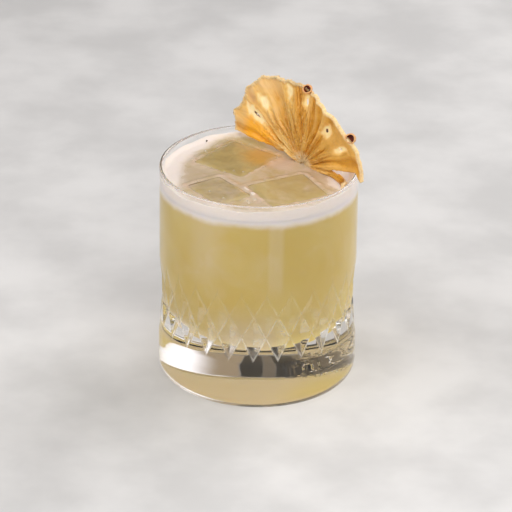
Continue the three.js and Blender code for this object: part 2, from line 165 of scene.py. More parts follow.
class Shader:
    """A material, or the room's light, whose nodes are written as Python expressions."""

    def __init__(self, name: str, world: bool = False) -> None:
        """Makes an empty material of that name, or an empty world."""
        self.owner = (bpy.data.worlds if world else bpy.data.materials).new(name)
        self.owner.use_nodes = True
        self.tree = self.owner.node_tree
        self.tree.nodes.clear()

    def node(self, kind: str, settings: dict | None = None, inputs: dict | None = None) -> bpy.types.Node:
        """Adds one node.

        Args:
            kind: the node's type, such as ShaderNodeMath.
            settings: its properties, set first. A ramp's are given as stops of place and colour.
            inputs: a value, a colour or a link for each socket, by its name or number.

        Returns:
            The node.
        """
        made = self.tree.nodes.new(kind)
        for key, setting in (settings or {}).items():
            if key == "stops":
                self._set_stops(made.color_ramp, setting)
            else:
                setattr(made, key, setting)
        for key, given in (inputs or {}).items():
            socket = made.inputs[key]
            if isinstance(given, Value):
                given = given.socket
            if isinstance(given, bpy.types.NodeSocket):
                self.tree.links.new(given, socket)
            elif isinstance(given, tuple) and socket.type == "RGBA":
                socket.default_value = (*given[:3], 1.0)
            else:
                socket.default_value = given
        return made

    @staticmethod
    def _set_stops(colour_ramp: bpy.types.ColorRamp, stops: Sequence[tuple[float, Colour]]) -> None:
        """Gives a colour ramp its stops."""
        while len(colour_ramp.elements) < len(stops):
            colour_ramp.elements.new(1.0)
        for element, (place, colour) in zip(colour_ramp.elements, stops):
            element.position = place
            element.color = (*colour, 1.0)

    def value(
        self, kind: str, settings: dict | None = None, inputs: dict | None = None, output: int | str = 0
    ) -> Value:
        """Adds one node and returns one of its outputs."""
        return Value(self, self.node(kind, settings, inputs).outputs[output])

    def math(self, operation: str, *operands: Operand) -> Value:
        """Adds a Math node for an operation on numbers."""
        return self.value("ShaderNodeMath", {"operation": operation}, dict(enumerate(operands)))

    def mix(self, share: Operand, a: Input, b: Input) -> Value:
        """Mixes two colours. A share of 0 gives a, and 1 gives b."""
        return self.value("ShaderNodeMix", {"data_type": "RGBA"}, {0: share, 6: a, 7: b}, 2)

    def place(self) -> Value:
        """Returns the place on the piece in millimetres."""
        metres = self.value("ShaderNodeTexCoord", output="Object")
        return self.value("ShaderNodeVectorMath", {"operation": "SCALE"}, {0: metres, "Scale": 1 / MM})

    def parts(self, vector: Value) -> tuple[Value, Value, Value]:
        """Returns the x, y and z of a vector."""
        made = self.node("ShaderNodeSeparateXYZ", inputs={0: vector})
        return Value(self, made.outputs[0]), Value(self, made.outputs[1]), Value(self, made.outputs[2])

    def away(self, at: Value, x: float, y: float) -> Value:
        """Returns the distance in plan from a place to an upright line."""
        here_x, here_y, _ = self.parts(at)
        return ((here_x - x) ** 2.0 + (here_y - y) ** 2.0) ** 0.5

    def vector(self, x: Operand, y: Operand, z: Operand) -> Value:
        """Returns a vector of three numbers."""
        return self.value("ShaderNodeCombineXYZ", inputs={0: x, 1: y, 2: z})

    def noise(
        self, at: Value, scale: float, detail: float = 3.0, rough: float = 0.5, warp: float = 0.0
    ) -> Value:
        """Returns soft noise from 0 to 1, with features of about 1 / scale millimetres."""
        inputs = {"Vector": at, "Scale": scale, "Detail": detail, "Roughness": rough, "Distortion": warp}
        return self.value("ShaderNodeTexNoise", inputs=inputs)

    def cells(self, at: Value, scale: float) -> Value:
        """Returns the distance to the nearest point of a pattern of cells."""
        inputs = {"Vector": at, "Scale": scale}
        return self.value("ShaderNodeTexVoronoi", inputs=inputs, output="Distance")

    def attribute(self, name: str) -> Value:
        """Returns a number that the piece's mesh holds at its vertices."""
        return self.value("ShaderNodeAttribute", {"attribute_name": name}, output="Fac")

    def colours(self, share: Operand, stops: Sequence[tuple[float, Colour]]) -> Value:
        """Returns a colour that runs through stops as share goes from 0 to 1."""
        return self.value("ShaderNodeValToRGB", {"stops": stops}, {0: share})

    def bump(self, height: Value, depth_mm: float) -> Value:
        """Returns a normal that follows small heights."""
        inputs = {"Height": height, "Distance": depth_mm * MM, "Strength": 1.0}
        return self.value("ShaderNodeBump", inputs=inputs)

    def bowed(self, along: Value, tightness: float) -> Value:
        """Returns the length of a number and a fixed one at right angles, which rounds off the turn at 0."""
        return (along * along + tightness) ** 0.5

    def principled(self, inputs: dict) -> Value:
        """Returns a Principled shader."""
        return self.value("ShaderNodeBsdfPrincipled", inputs=inputs)

    def lamps_pass(self, surface: Value, tint: float) -> Value:
        """Lets lamps light what is behind a clear surface, by Light Path.

        Args:
            surface: the clear shader, as the eye meets it.
            tint: the share of light that passes.

        Returns:
            The mixed shader.
        """
        path = self.node("ShaderNodeLightPath")
        shadow, diffuse = (Value(self, path.outputs[f"Is {kind} Ray"]) for kind in ("Shadow", "Diffuse"))
        soft = shadow.at_least(diffuse)
        clear = self.value("ShaderNodeBsdfTransparent", inputs={0: (tint, tint, tint)})
        return self.value("ShaderNodeMixShader", inputs={0: soft, 1: surface, 2: clear})

    def finished(self, surface: Value) -> bpy.types.Material:
        """Joins a shader to the material's output and returns the material."""
        self.node("ShaderNodeOutputMaterial", inputs={"Surface": surface})
        return self.owner


@dataclass(frozen=True)
class ClearGlass:
    """Colourless cut glass, polished by fire, with worn cuts, and painted light: the cut facets that face the
    lamps are painted paler and the ridges carry painted glints.

    The flat foot is shaded as if it leaned a little towards the front and the back, and as if its right
    side were scratched, because that is what throws the light and dark patches about in the base.
    """

    bend: float = 1.5
    passes: float = 0.94
    front_lean: float = 0.24
    front_edge: float = 7.5
    front_tightness: float = 0.25
    back_lean: float = 0.13
    back_edge: float = 17.0
    back_spread: float = 0.35
    back_tightness: float = 9.0
    scratch_depth: float = 0.6
    foot_top: float = 0.4
    cut_crispness: float = 0.8
    worn_roughness: float = 0.35
    # Colour of the pale layer of wear and painted light on the cuts.
    painted_light_and_wear: Colour = (1.0, 0.950, 0.860)

    def material(self) -> bpy.types.Material:
        """Returns the finish."""
        shader = Shader("cut_glass")
        at = shader.place()
        x, y, z = shader.parts(at)
        behind = Value(shader, shader.node("ShaderNodeNewGeometry").outputs["Backfacing"])
        before = y - self.front_edge
        fall = (shader.bowed(before, self.front_tightness) - before) * (self.front_lean / 2)
        beyond = y - self.back_edge - shader.bowed(x, self.back_tightness) * self.back_spread
        rise = (shader.bowed(beyond, self.back_tightness) + beyond) * (self.back_lean / 2) * x.smooth(-16, -3)
        along_scratches = shader.vector(x * 0.46 + y * 0.08, y * 0.16, 0.0)
        scratches = shader.noise(along_scratches, 1.0, detail=2.0, rough=0.6).smooth(0.42, 0.58)
        scratches = scratches * x.smooth(6, 13) * y.smooth(2, 9) * self.scratch_depth
        foot = (scratches - (fall - rise)) * z.smooth(self.foot_top, self.foot_top / 4)
        cuts = shader.attribute("cut") * (behind * 2 - 1) * self.cut_crispness
        clear = shader.principled({
            "Base Color": (1.0, 1.0, 1.0),
            "Roughness": 0.0,
            "IOR": self.bend,
            "Transmission Weight": 1.0,
            "Normal": shader.bump(foot + cuts, 1.0),
        })
        # The pale layer is wear and painted light: random scuffs, with facets and ridges painted paler as if
        # lit.
        worn = shader.principled({
            "Base Color": self.painted_light_and_wear,
            "Roughness": self.worn_roughness,
            "Transmission Weight": 0.3,
            "IOR": self.bend,
        })
        scuffs = shader.noise(at, 0.22, detail=3.0).smooth(0.35, 0.65)
        share = shader.attribute("painted_light_and_wear") * (0.35 + scuffs * 0.75) * (1 - behind)
        look = shader.value("ShaderNodeMixShader", inputs={0: share, 1: clear, 2: worn})
        return shader.finished(shader.lamps_pass(look, self.passes))


@dataclass(frozen=True)
class CloudyDrink:
    """Cloudy pineapple drink, paler where it turns to foam.

    Pale upright bands are painted reflections of the lamps, the paler bottom and lower left are painted
    light, and the low glow is a painted glow.
    """

    body: Colour = (0.645, 0.490, 0.165)
    # Colour of the painted reflections and of the pale swirls.
    pale: Colour = (0.670, 0.535, 0.290)
    deep: Colour = (0.610, 0.440, 0.115)
    # Colour of the painted light low in the drink.
    lit_underside: Colour = (0.620, 0.495, 0.300)
    honeyed: Colour = (0.640, 0.490, 0.160)
    lit_edge: Colour = (0.960, 0.890, 0.830)
    froth: Colour = (0.880, 0.785, 0.720)
    top: float = 88.3
    # Where the painted reflections of the lamps stand as pale upright bands, in degrees.
    reflection_turn: float = 10.6
    reflection_half: float = 4.4
    left_reflection_turn: float = -33.0
    left_reflection_half: float = 10.0
    # Strength of the painted glow low in the drink.
    glow: float = 0.4

    def material(self) -> bpy.types.Material:
        """Returns the finish."""
        shader = Shader("cloudy_drink")
        at = shader.place()
        x, y, z = shader.parts(at)
        clouds = shader.noise(at, 0.022, detail=2.0, warp=0.6)
        tone = shader.mix(clouds.smooth(0.35, 0.7), self.deep, self.body)
        turn = shader.math("ARCTAN2", x, y * -1) * (180 / math.pi)
        # Painted reflections of the lamps: pale upright bands, mixed with random pale swirls.
        reflected_streak = turn.within(self.reflection_turn - self.reflection_half, self.reflection_turn + self.reflection_half, 1.6)
        reflected_haze = turn.within(self.left_reflection_turn - self.left_reflection_half, self.left_reflection_turn + self.left_reflection_half, 8.0)
        swirl = shader.noise(at, 0.06, detail=3.0, warp=1.4).smooth(0.45, 0.75)
        reflections_and_swirl = reflected_streak * z.smooth(50, 60) * 0.5 + reflected_haze * z.smooth(46, 66) * 0.6 + swirl * 0.25
        tone = shader.mix(reflections_and_swirl.at_most(1.0), tone, self.pale)
        waves = shader.noise(shader.vector(x, y, 0.0), 0.06, detail=1.0) * 3.0
        ragged = shader.noise(at, 0.35, detail=3.0) * 1.3
        # Painted light: the drink is paler towards the bottom, most in the middle, as if lit through the
        # base.
        painted_light_below = z.smooth(52, 30) * x.smooth(14, 2) + z.smooth(42, 25) * x.smooth(2, 14)
        yellow_left = x.smooth(-9, -21) * z.smooth(20, 32)
        painted_light_below = painted_light_below * (1.0 - yellow_left * 0.65)
        tone = shader.mix(painted_light_below * 0.85, tone, shader.mix(x.smooth(2, 16), self.lit_underside, self.honeyed))
        foamy = (z + waves + ragged).smooth(self.top - 2.6, self.top + 1.5)
        tone = shader.mix(foamy, tone, self.froth)
        # Painted light: the lower left edge is painted near white, as if lit through the glass foot.
        lit_lower_left = x.smooth(-20, -33) * z.smooth(37, 24)
        tone = shader.mix(lit_lower_left * 0.9, tone, self.lit_edge)
        look = shader.principled({
            "Base Color": tone,
            "Roughness": 0.5,
            "Specular IOR Level": 0.0,
            "Subsurface Weight": 0.5,
            "Subsurface Radius": (1.0, 0.75, 0.35),
            "Subsurface Scale": 0.006,
            # Painted glow: the lower part gives off light in its own colour, standing for light scattered
            # through the drink.
            "Emission Color": shader.mix(z.smooth(40, 18), BLACK, tone),
            "Emission Strength": self.glow,
        })
        return shader.finished(look)


@dataclass(frozen=True)
class SurfaceFilm:
    """The thin film of foam and juice that the ice and the foam share, from olive to pinkish beige, with an
    amber patch that is a painted reflection of the slice.
    """

    olive: Colour = (0.515, 0.395, 0.175)
    beige: Colour = (0.615, 0.490, 0.345)
    blush: Colour = (0.720, 0.550, 0.430)
    amber: Colour = (0.620, 0.350, 0.090)
    # Middle of the amber patch, the painted reflection of the slice.
    fruit: tuple[float, float] = (2.0, 15.0)
    core: tuple[float, float] = (10.0, 9.0)

    def tone(self, shader: Shader, at: Value, paleness: Operand) -> Value:
        """Returns the film's colour.

        Args:
            shader: the material's shader.
            at: the place in millimetres.
            paleness: 0 where clear juice shows, 1 where foam lies on it.

        Returns:
            The colour.
        """
        drift = shader.noise(at, 0.075, detail=3.0, warp=0.9)
        fine = shader.noise(at, 0.35, detail=3.0)
        share = (paleness + (drift - 0.5) * 1.5 + (fine - 0.5) * 0.35).smooth(0.12, 0.88)
        tone = shader.mix(share, self.olive, self.beige)
        blush = shader.noise(at, 0.13, detail=2.0, warp=0.5).smooth(0.54, 0.72) * share
        tone = shader.mix(blush * 0.7, tone, self.blush)
        # Painted reflection: an amber patch where the slice would be mirrored in the film.
        tone = shader.mix(shader.away(at, *self.fruit).smooth(12, 4) * 0.8, tone, self.amber)
        return shader.mix(shader.away(at, *self.core).smooth(9, 3) * 0.7, tone, self.blush)


@dataclass(frozen=True)
class Froth:
    """Fine foam, white at the wall and thin between the ice cubes."""

    white: Colour = (0.880, 0.785, 0.720)
    pore_shade: Colour = (0.52, 0.42, 0.30)
    film: SurfaceFilm = SurfaceFilm()
    film_paleness: float = 0.68
    white_from: float = 38.6
    wider_left: float = 4.4
    narrower_behind: float = 3.0
    wider_at_slit: float = 7.0
    ragged: float = 6.0
    behind_ice: tuple[float, float] = (-12.0, 26.0)

    def material(self) -> bpy.types.Material:
        """Returns the finish."""
        shader = Shader("froth")
        at = shader.place()
        x, y, z = shader.parts(at)
        radius = (x * x + y * y) ** 0.5
        patches = shader.noise(at, 0.12, detail=4.0, warp=0.8)
        leftness = (x * -1).smooth(-6, 30) * y.smooth(-20, -6)
        far_ice = y.smooth(22, 33) * x.smooth(-30, -18)
        slit = x.smooth(22, 30) * (y * y).smooth(260, 60)
        start = self.white_from - leftness * self.wider_left + far_ice * self.narrower_behind
        start = start - slit * self.wider_at_slit + (patches - 0.5) * self.ragged
        edge = (radius - start).smooth(-5.0, 2.0)
        thick = edge.at_least(z.smooth(91.2, 90.4)).at_least(z.smooth(92.3, 92.7))
        behind_ice = shader.away(at, *self.behind_ice).smooth(18, 10)
        ridges = z.smooth(91.9, 92.3) * (radius * -1).smooth(-37, -35)
        tone = self.film.tone(shader, at, self.film_paleness - behind_ice * 0.5)
        tone = shader.mix(ridges * 0.6, tone, self.film.blush)
        tone = shader.mix(thick, tone, self.white)
        pores = shader.cells(at, 1.5).smooth(0.0, 0.35)
        fine = shader.cells(at, 4.0)
        # Painted shade: the foam is a little darker in its pores.
        tone = shader.mix((1 - pores) * 0.10, tone, self.pore_shade)
        look = shader.principled({
            "Base Color": tone,
            "Roughness": thick * 0.34 + 0.16,
            "Specular IOR Level": 0.5,
            "Subsurface Weight": 0.4,
            "Subsurface Radius": (1.0, 0.85, 0.6),
            "Subsurface Scale": 0.002,
            "Normal": shader.bump(pores * thick + fine * 0.2, 0.1),
        })
        return shader.finished(look)


@dataclass(frozen=True)
class WetIce:
    """Melting ice, wet and clear, clouded by a thin film of juice and foam."""

    bend: float = 1.31
    tint: Colour = (0.97, 0.95, 0.86)
    film: SurfaceFilm = SurfaceFilm()
    passes: float = 0.97

    def material(self) -> bpy.types.Material:
        """Returns the finish."""
        shader = Shader("wet_ice")
        at = shader.place()
        melt = shader.noise(at, 0.09, detail=2.0)
        cloud = shader.noise(at, 0.16, detail=4.0, warp=0.7)
        normal = shader.bump(melt + cloud * 0.12, 0.6)
        clear = shader.principled({
            "Base Color": self.tint,
            "Roughness": 0.04,
            "IOR": self.bend,
            "Transmission Weight": 1.0,
            "Normal": normal,
        })
        foam = shader.principled({
            "Base Color": self.film.tone(shader, at, shader.attribute("paleness")),
            "Roughness": 0.12,
            "Specular IOR Level": 0.55,
            "Subsurface Weight": 0.4,
            "Subsurface Radius": (1.0, 0.8, 0.5),
            "Subsurface Scale": 0.002,
            "Normal": normal,
        })
        cover = (shader.attribute("cover") + (cloud - 0.5) * 0.6).smooth(0.0, 1.0)
        look = shader.value("ShaderNodeMixShader", inputs={0: cover, 1: clear, 2: foam})
        return shader.finished(shader.lamps_pass(look, self.passes))


@dataclass(frozen=True)
class Grain:
    """What the parts of the dried pineapple's finish read at a place: its turn, its reach and its grain."""

    at: Value
    turn: Value
    reach: Value
    medium: Value
    fine: Value
    fibre: Value
    crest: Value
    fold: Value
    calm: Value
    mottle: Value
    crumbs: Value
    core: Value
    rind: Value
    rough_side: Value
    glowing_left: Value


@dataclass(frozen=True)
class DriedPineapple:
    """Dried pineapple: amber fibres from a crumbly core, pale eyes with dark pits and a cream rind.

    Turns are in degrees and reaches in millimetres, as on the slice. At the eyes and low at the left, a weak
    painted glow stands for the light that comes through the sheet; the creases carry painted shade, the
    crests painted highlights and the pits painted shade.
    """

    crease_shade: Colour = (0.300, 0.090, 0.006)
    brown: Colour = (0.620, 0.235, 0.018)
    amber: Colour = (0.870, 0.410, 0.052)
    honey: Colour = (0.970, 0.565, 0.145)
    tan: Colour = (0.980, 0.620, 0.240)
    # Colour of the painted glow where light would come through the sheet.
    glow: Colour = (1.000, 0.430, 0.002)
    gold: Colour = (0.940, 0.500, 0.050)
    deep: Colour = (0.660, 0.290, 0.020)
    butter: Colour = (1.000, 0.600, 0.160)
    cream: Colour = (1.000, 0.700, 0.300)
    milky: Colour = (1.000, 0.800, 0.460)
    core: Colour = (1.000, 0.720, 0.380)
    rind: Colour = (0.980, 0.650, 0.310)
    crack: Colour = (0.220, 0.070, 0.015)
    pit: Colour = (0.060, 0.022, 0.010)
    shine: float = 0.3
    glow_strength: float = 0.22
    relief_depth: float = 0.5

    def material(self) -> bpy.types.Material:
        """Returns the finish."""
        shader = Shader("dried_pineapple")
        grain = self._grain(shader)
        halo, pits = self._eyes(shader, grain)
        tone = self._patched(shader, grain, self._flesh(shader, grain))
        # The eyes are pale, and their palest middles are painted highlights.
        pale = [(0.15, self.honey), (0.40, self.butter), (0.66, self.cream), (0.88, self.milky)]
        tone = shader.mix(halo.smooth(0.04, 0.45), tone, shader.colours(halo, pale))
        # Painted shade: the sunken middles of some eyes are painted near black, the dark of a hole.
        tone = shader.mix(pits, tone, self.pit)
        tone = self._with_rind(shader, grain, tone)
        crumbling = grain.rind.at_least(grain.core)
        gloss = grain.crest.smooth(0.3, 0.55) * (1 - crumbling)
        # Painted glow low at the left, as if lit through the sheet.
        lit = shader.mix(grain.glowing_left * 0.6, BLACK, self.glow)
        look = shader.principled({
            "Base Color": tone,
            "Roughness": crumbling * 0.32 + 0.30,
            "Specular IOR Level": 0.35,
            "Coat Weight": self.shine * gloss,
            "Coat Roughness": 0.14,
            "Subsurface Weight": 0.15,
            "Subsurface Radius": (1.0, 0.8, 0.6),
            "Subsurface Scale": 0.0008,
            # Painted glow: the eyes and the low left give off a little light, as if lit through the sheet.
            "Emission Color": shader.mix(halo.smooth(0.3, 0.8) * (1.0 - pits), lit, self.cream),
            "Emission Strength": self.glow_strength,
            "Normal": shader.bump(self._height(grain), self.relief_depth),
        })
        return shader.finished(look)

    @staticmethod
    def _grain(shader: Shader) -> Grain:
        """Returns the turn, the reach and the grain that the finish is made of."""
        at = shader.place()
        wheel = shader.value("ShaderNodeUVMap", {"uv_map": PineappleSlice.WHEEL})
        turn, reach, _ = shader.parts(wheel)
        turn = turn * PineappleSlice.FULL_TURN
        reach = reach * PineappleSlice.FULL_REACH
        sway = (shader.noise(at, 0.12, detail=2.0) - 0.5) * 9
        coarse = shader.noise(shader.vector((turn + sway) * 0.20, reach * 0.035, 0.0), 1.0, detail=2.0)
        medium = shader.noise(shader.vector((turn + sway) * 0.8, reach * 0.06, 4.0), 1.0, detail=3.0)
        fine = shader.noise(shader.vector((turn + sway) * 2.2, reach * 0.14, 8.0), 1.0, detail=3.0)
        return Grain(
            at=at,
            turn=turn,
            reach=reach,
            medium=medium,
            fine=fine,
            fibre=(coarse * 0.25 + medium * 0.45 + fine * 0.3).smooth(0.34, 0.66),
            crest=shader.attribute("crest"),
            fold=shader.attribute("fold"),
            calm=shader.attribute("calm"),
            mottle=shader.noise(at, 0.16, detail=4.0, rough=0.6) * 0.65 + coarse * 0.35,
            crumbs=shader.noise(at, 0.9, detail=4.0, rough=0.65),
            core=(reach + (medium - 0.5) * 4).smooth(7.0, 4.5),
            rind=shader.attribute("rind"),
            rough_side=turn.smooth(112, 88),
            glowing_left=turn.smooth(42, 16) * reach.smooth(12, 23) * reach.smooth(37, 31),
        )

    def _flesh(self, shader: Shader, grain: Grain) -> Value:
        """Returns the colour of the fibres, and of the smooth skin that they sink into, with painted shade in
        the creases and painted highlights on the crests.
        """
        tones = [(0.18, self.crease_shade), (0.35, self.brown), (0.52, self.amber), (0.72, self.honey)]
        # Painted shade and highlights: the fibres run from the crease shade in the valleys to cream on the
        # crests, by the relief's height.
        relief_shading = grain.fibre * 0.40 + grain.crest * 0.46 + grain.fold * 0.24 - 0.06
        fibres = shader.colours(relief_shading, tones + [(1.0, self.cream)])
        tones = [(0.28, self.brown), (0.40, self.amber), (0.52, self.honey), (0.72, self.tan)]
        # The skin is painted darker in the hollows of the broad folds, painted shade, over a random mottle.
        skin = shader.colours(grain.mottle + (grain.fold - 0.5) * 0.5, tones)
        return shader.mix(grain.calm * 0.85, fibres, skin)

    def _patched(self, shader: Shader, grain: Grain, tone: Value) -> Value:
        """Returns a colour with the wheel's darker and paler patches laid over it, a painted glow low at the
        left and painted shade at the tongue's end.

        Args:
            shader: the material's shader.
            grain: what it reads at a place.
            tone: the colour below.

        Returns:
            The colour.
        """
        turn, reach, crest, mottle = grain.turn, grain.reach, grain.crest, grain.mottle
        inner = reach.smooth(29, 14) * turn.smooth(38, 58) * (1.0 - turn.smooth(78, 98) * 0.6)
        tone = shader.mix(inner * 0.55, tone, shader.mix(crest.smooth(0.3, 0.6), self.brown, self.deep))
        low_right = turn.smooth(116, 146) * reach.smooth(34, 30)
        tone = shader.mix(low_right * 0.4, tone, shader.mix(mottle.smooth(0.35, 0.6), self.deep, self.amber))
        right_skin = grain.calm * turn.smooth(92, 108)
        tone = shader.mix(right_skin * 0.45, tone, shader.mix(mottle.smooth(0.4, 0.6), self.deep, self.gold))
        # Painted glow: low at the left the fibres are painted a bright orange, as if lit from behind, with
        # crease shade in their valleys.
        lit_fibres = shader.mix(crest.smooth(0.35, 0.05), self.glow, self.crease_shade)
        tone = shader.mix(grain.glowing_left * 0.9, tone, lit_fibres)
        upper_edge = reach.smooth(28, 37) * turn.smooth(78, 56) * turn.smooth(24, 36)
        tone = shader.mix(upper_edge * 0.45, tone, self.rind)
        blotch = shader.noise(grain.at, 0.09, detail=3.0).smooth(0.5, 0.75)
        tone = shader.mix(blotch * 0.25, tone, self.honey)
        # Painted shade: the tongue is painted darker towards its end, where it bends forward onto the foam.
        tongue = turn.smooth(168.5, 171) * reach.smooth(15, 20)
        tone = shader.mix(tongue * 0.7, tone, self.deep)
        tongue_tip_shade = turn.smooth(169, 171) * reach.smooth(23, 27)
        tone = shader.mix(tongue_tip_shade * 0.8, tone, self.crease_shade)
        crumbly_core = shader.mix(grain.crumbs.smooth(0.33, 0.52), self.amber, self.core)
        return shader.mix(grain.core, tone, crumbly_core)

    @staticmethod
    def _eyes(shader: Shader, grain: Grain) -> tuple[Value, Value]:
        """Returns the pale halo of the eyes and their pits, darkened with painted shade, each from 0 to about
        1.
        """
        eye = shader.attribute("eye")
        ragged = eye + (grain.medium - 0.5) * 0.25 + (grain.crumbs - 0.5) * 0.2
        low_eye = grain.turn.smooth(38, 32)
        dark_eyes = (low_eye + grain.turn.smooth(86, 104) * 0.9 + 0.1).at_most(1.0)
        pits = (ragged + low_eye * 0.05).smooth(0.92, 1.0) * dark_eyes
        return ragged * (1.0 + low_eye * 0.45), pits

    def _with_rind(self, shader: Shader, grain: Grain, tone: Value) -> Value:
        """Returns a colour with the rind's cream and its dark cracks laid over it."""
        cream = shader.mix(grain.crumbs.smooth(0.32, 0.60), self.rind, self.milky)
        tone = shader.mix(grain.rind * 0.75, tone, cream)
        cracks = grain.crumbs.smooth(0.58, 0.70) * grain.rind * grain.rough_side
        return shader.mix(cracks * 0.85, tone, self.crack)

    @staticmethod
    def _height(grain: Grain) -> Value:
        """Returns the height of the fine grain, from the fibres to the crumbs of the rind and the core."""
        crumbly = grain.rind * (grain.rough_side * 0.8 + 0.2) * grain.crumbs * 1.2
        fibres = (grain.fibre * 0.5 + grain.fine * 0.4) * (1 - grain.calm * 0.6)
        return fibres + grain.calm * grain.mottle * 0.8 + crumbly + grain.core * grain.crumbs * 1.6


@dataclass(frozen=True)
class DriedTube:
    """A rind eye dried to a little tube: dark red inside, with a pale papery lip."""

    inside: Colour = (0.160, 0.014, 0.007)
    inside_light: Colour = (0.420, 0.060, 0.016)
    lip: Colour = (0.820, 0.430, 0.170)
    outside: Colour = (0.620, 0.250, 0.050)

    def material(self) -> bpy.types.Material:
        """Returns the finish."""
        shader = Shader("dried_tube")
        at = shader.place()
        grain = shader.noise(at, 1.1, detail=4.0)
        inner = shader.attribute("inside")
        lip = shader.attribute("lip")
        tone = shader.mix(grain.smooth(0.3, 0.7), self.outside, self.lip)
        tone = shader.mix(inner, tone, shader.mix(grain.smooth(0.35, 0.7), self.inside, self.inside_light))
        tone = shader.mix(lip, tone, self.lip)
        look = shader.principled({
            "Base Color": tone,
            "Roughness": 0.45,
            "Subsurface Weight": 0.2,
            "Subsurface Radius": (1.0, 0.4, 0.2),
            "Subsurface Scale": 0.001,
            "Normal": shader.bump(grain, 0.25),
        })
        return shader.finished(look)


@dataclass(frozen=True)
class PlainFinish:
    """A finish of one colour with a fine grain."""

    name: str
    colour: Colour
    roughness: float
    grain: float = 0.3
    darkest: float = 0.82

    def material(self) -> bpy.types.Material:
        """Returns the finish."""
        shader = Shader(self.name)
        grain = shader.noise(shader.place(), self.grain, detail=4.0)
        dark = tuple(self.darkest * channel for channel in self.colour)
        look = shader.principled({
            "Base Color": shader.mix(grain.smooth(0.3, 0.7), dark, self.colour),
            "Roughness": self.roughness,
            "Normal": shader.bump(grain, 0.05),
        })
        return shader.finished(look)


@dataclass(frozen=True)
class BubbleSkin:
    """The clear skin of a bubble, seen by its gloss and its pale rim, whose pale tint is painted highlight.
    """

    tint: Colour = (0.92, 0.86, 0.74)
    bend: float = 1.33

    def material(self) -> bpy.types.Material:
        """Returns the finish."""
        shader = Shader("bubble_skin")
        edge = shader.value("ShaderNodeLayerWeight", inputs={"Blend": 0.35}, output="Facing")
        gloss = shader.principled({
            "Base Color": self.tint,
            "Roughness": 0.06,
            "IOR": self.bend,
        })
        clear = shader.value("ShaderNodeBsdfTransparent", inputs={0: (1.0, 1.0, 1.0)})
        # The pale tint, strongest at the rim, is painted highlight.
        look = shader.value("ShaderNodeMixShader", inputs={0: edge * 0.7 + 0.12, 1: clear, 2: gloss})
        return shader.finished(look)


# Meshes


def spun(profile: Profile, wedges: int, steps: int, turn: float = 0.0) -> bmesh.types.BMesh:
    """Turns an outline round the tumbler's axis, one wedge first and then its copies, which is quick.

    Args:
        profile: radius and height of each point, from the axis back to the axis.
        wedges: equal wedges in the full turn.
        steps: steps in a wedge.
        turn: degrees from the front to the first column.

    Returns:
        A closed mesh whose faces point outwards.
    """
    bm = bmesh.new()
    verts = [bm.verts.new(around(radius, turn, height)) for radius, height in profile]
    edges = [bm.edges.new(pair) for pair in zip(verts, verts[1:])]
    axis = {"cent": (0, 0, 0), "axis": (0, 0, 1), "dvec": (0, 0, 0)}
    wedge = math.tau / wedges
    bmesh.ops.spin(bm, geom=verts + edges, angle=wedge, steps=steps, **axis)
    whole = [*bm.verts, *bm.edges, *bm.faces]
    bmesh.ops.spin(bm, geom=whole, angle=math.tau - wedge, steps=wedges - 1, use_duplicate=True, **axis)
    bmesh.ops.remove_doubles(bm, verts=bm.verts, dist=CLOSE)
    bmesh.ops.recalc_face_normals(bm, faces=bm.faces)
    return bm


def soften(mesh: bpy.types.Mesh) -> None:
    """Shades a mesh smooth, except across its corners."""
    mesh.shade_smooth()
    mesh.set_sharp_from_angle(angle=math.radians(SHARP_TURN))


def finished(
    bm: bmesh.types.BMesh, name: str, material: bpy.types.Material, stands_for: Sequence[str] = ()
) -> bpy.types.Object:
    """Makes a piece of the object from a mesh in millimetres.

    Args:
        bm: the mesh, which is used up.
        name: the piece's name.
        material: its finish.
        stands_for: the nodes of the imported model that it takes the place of.

    Returns:
        The piece, which rides on the one body.
    """
    bmesh.ops.scale(bm, vec=(MM, MM, MM), verts=bm.verts)
    mesh = bpy.data.meshes.new(name)
    bm.to_mesh(mesh)
    bm.free()
    soften(mesh)
    mesh.materials.append(material)
    piece = bpy.data.objects.new(name, mesh)
    bpy.context.scene.collection.objects.link(piece)
    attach(piece, BODY)
    if stands_for:
        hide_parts(*stands_for)
    log.info("%s: %d faces", name, len(mesh.polygons))
    return piece


def carve(piece: bpy.types.Object, cutters: Sequence[bmesh.types.BMesh]) -> None:
    """Cuts closed meshes in millimetres out of a piece and keeps the result as its mesh.

    Args:
        piece: the piece to cut.
        cutters: the meshes to take away, which are used up.
    """
    tools = []
    for bm in cutters:
        bmesh.ops.scale(bm, vec=(MM, MM, MM), verts=bm.verts)
        mesh = bpy.data.meshes.new("cutter")
        bm.to_mesh(mesh)
        bm.free()
        tool = bpy.data.objects.new("cutter", mesh)
        bpy.context.scene.collection.objects.link(tool)
        modifier = piece.modifiers.new("cut", "BOOLEAN")
        modifier.operation = "DIFFERENCE"
        modifier.solver = "MANIFOLD"
        modifier.object = tool
        tools.append(tool)
    depsgraph = bpy.context.evaluated_depsgraph_get()
    cut = bpy.data.meshes.new_from_object(piece.evaluated_get(depsgraph))
    piece.modifiers.clear()
    piece.data = cut
    soften(cut)
    for tool in tools:
        bpy.data.objects.remove(tool)


# Tumbler


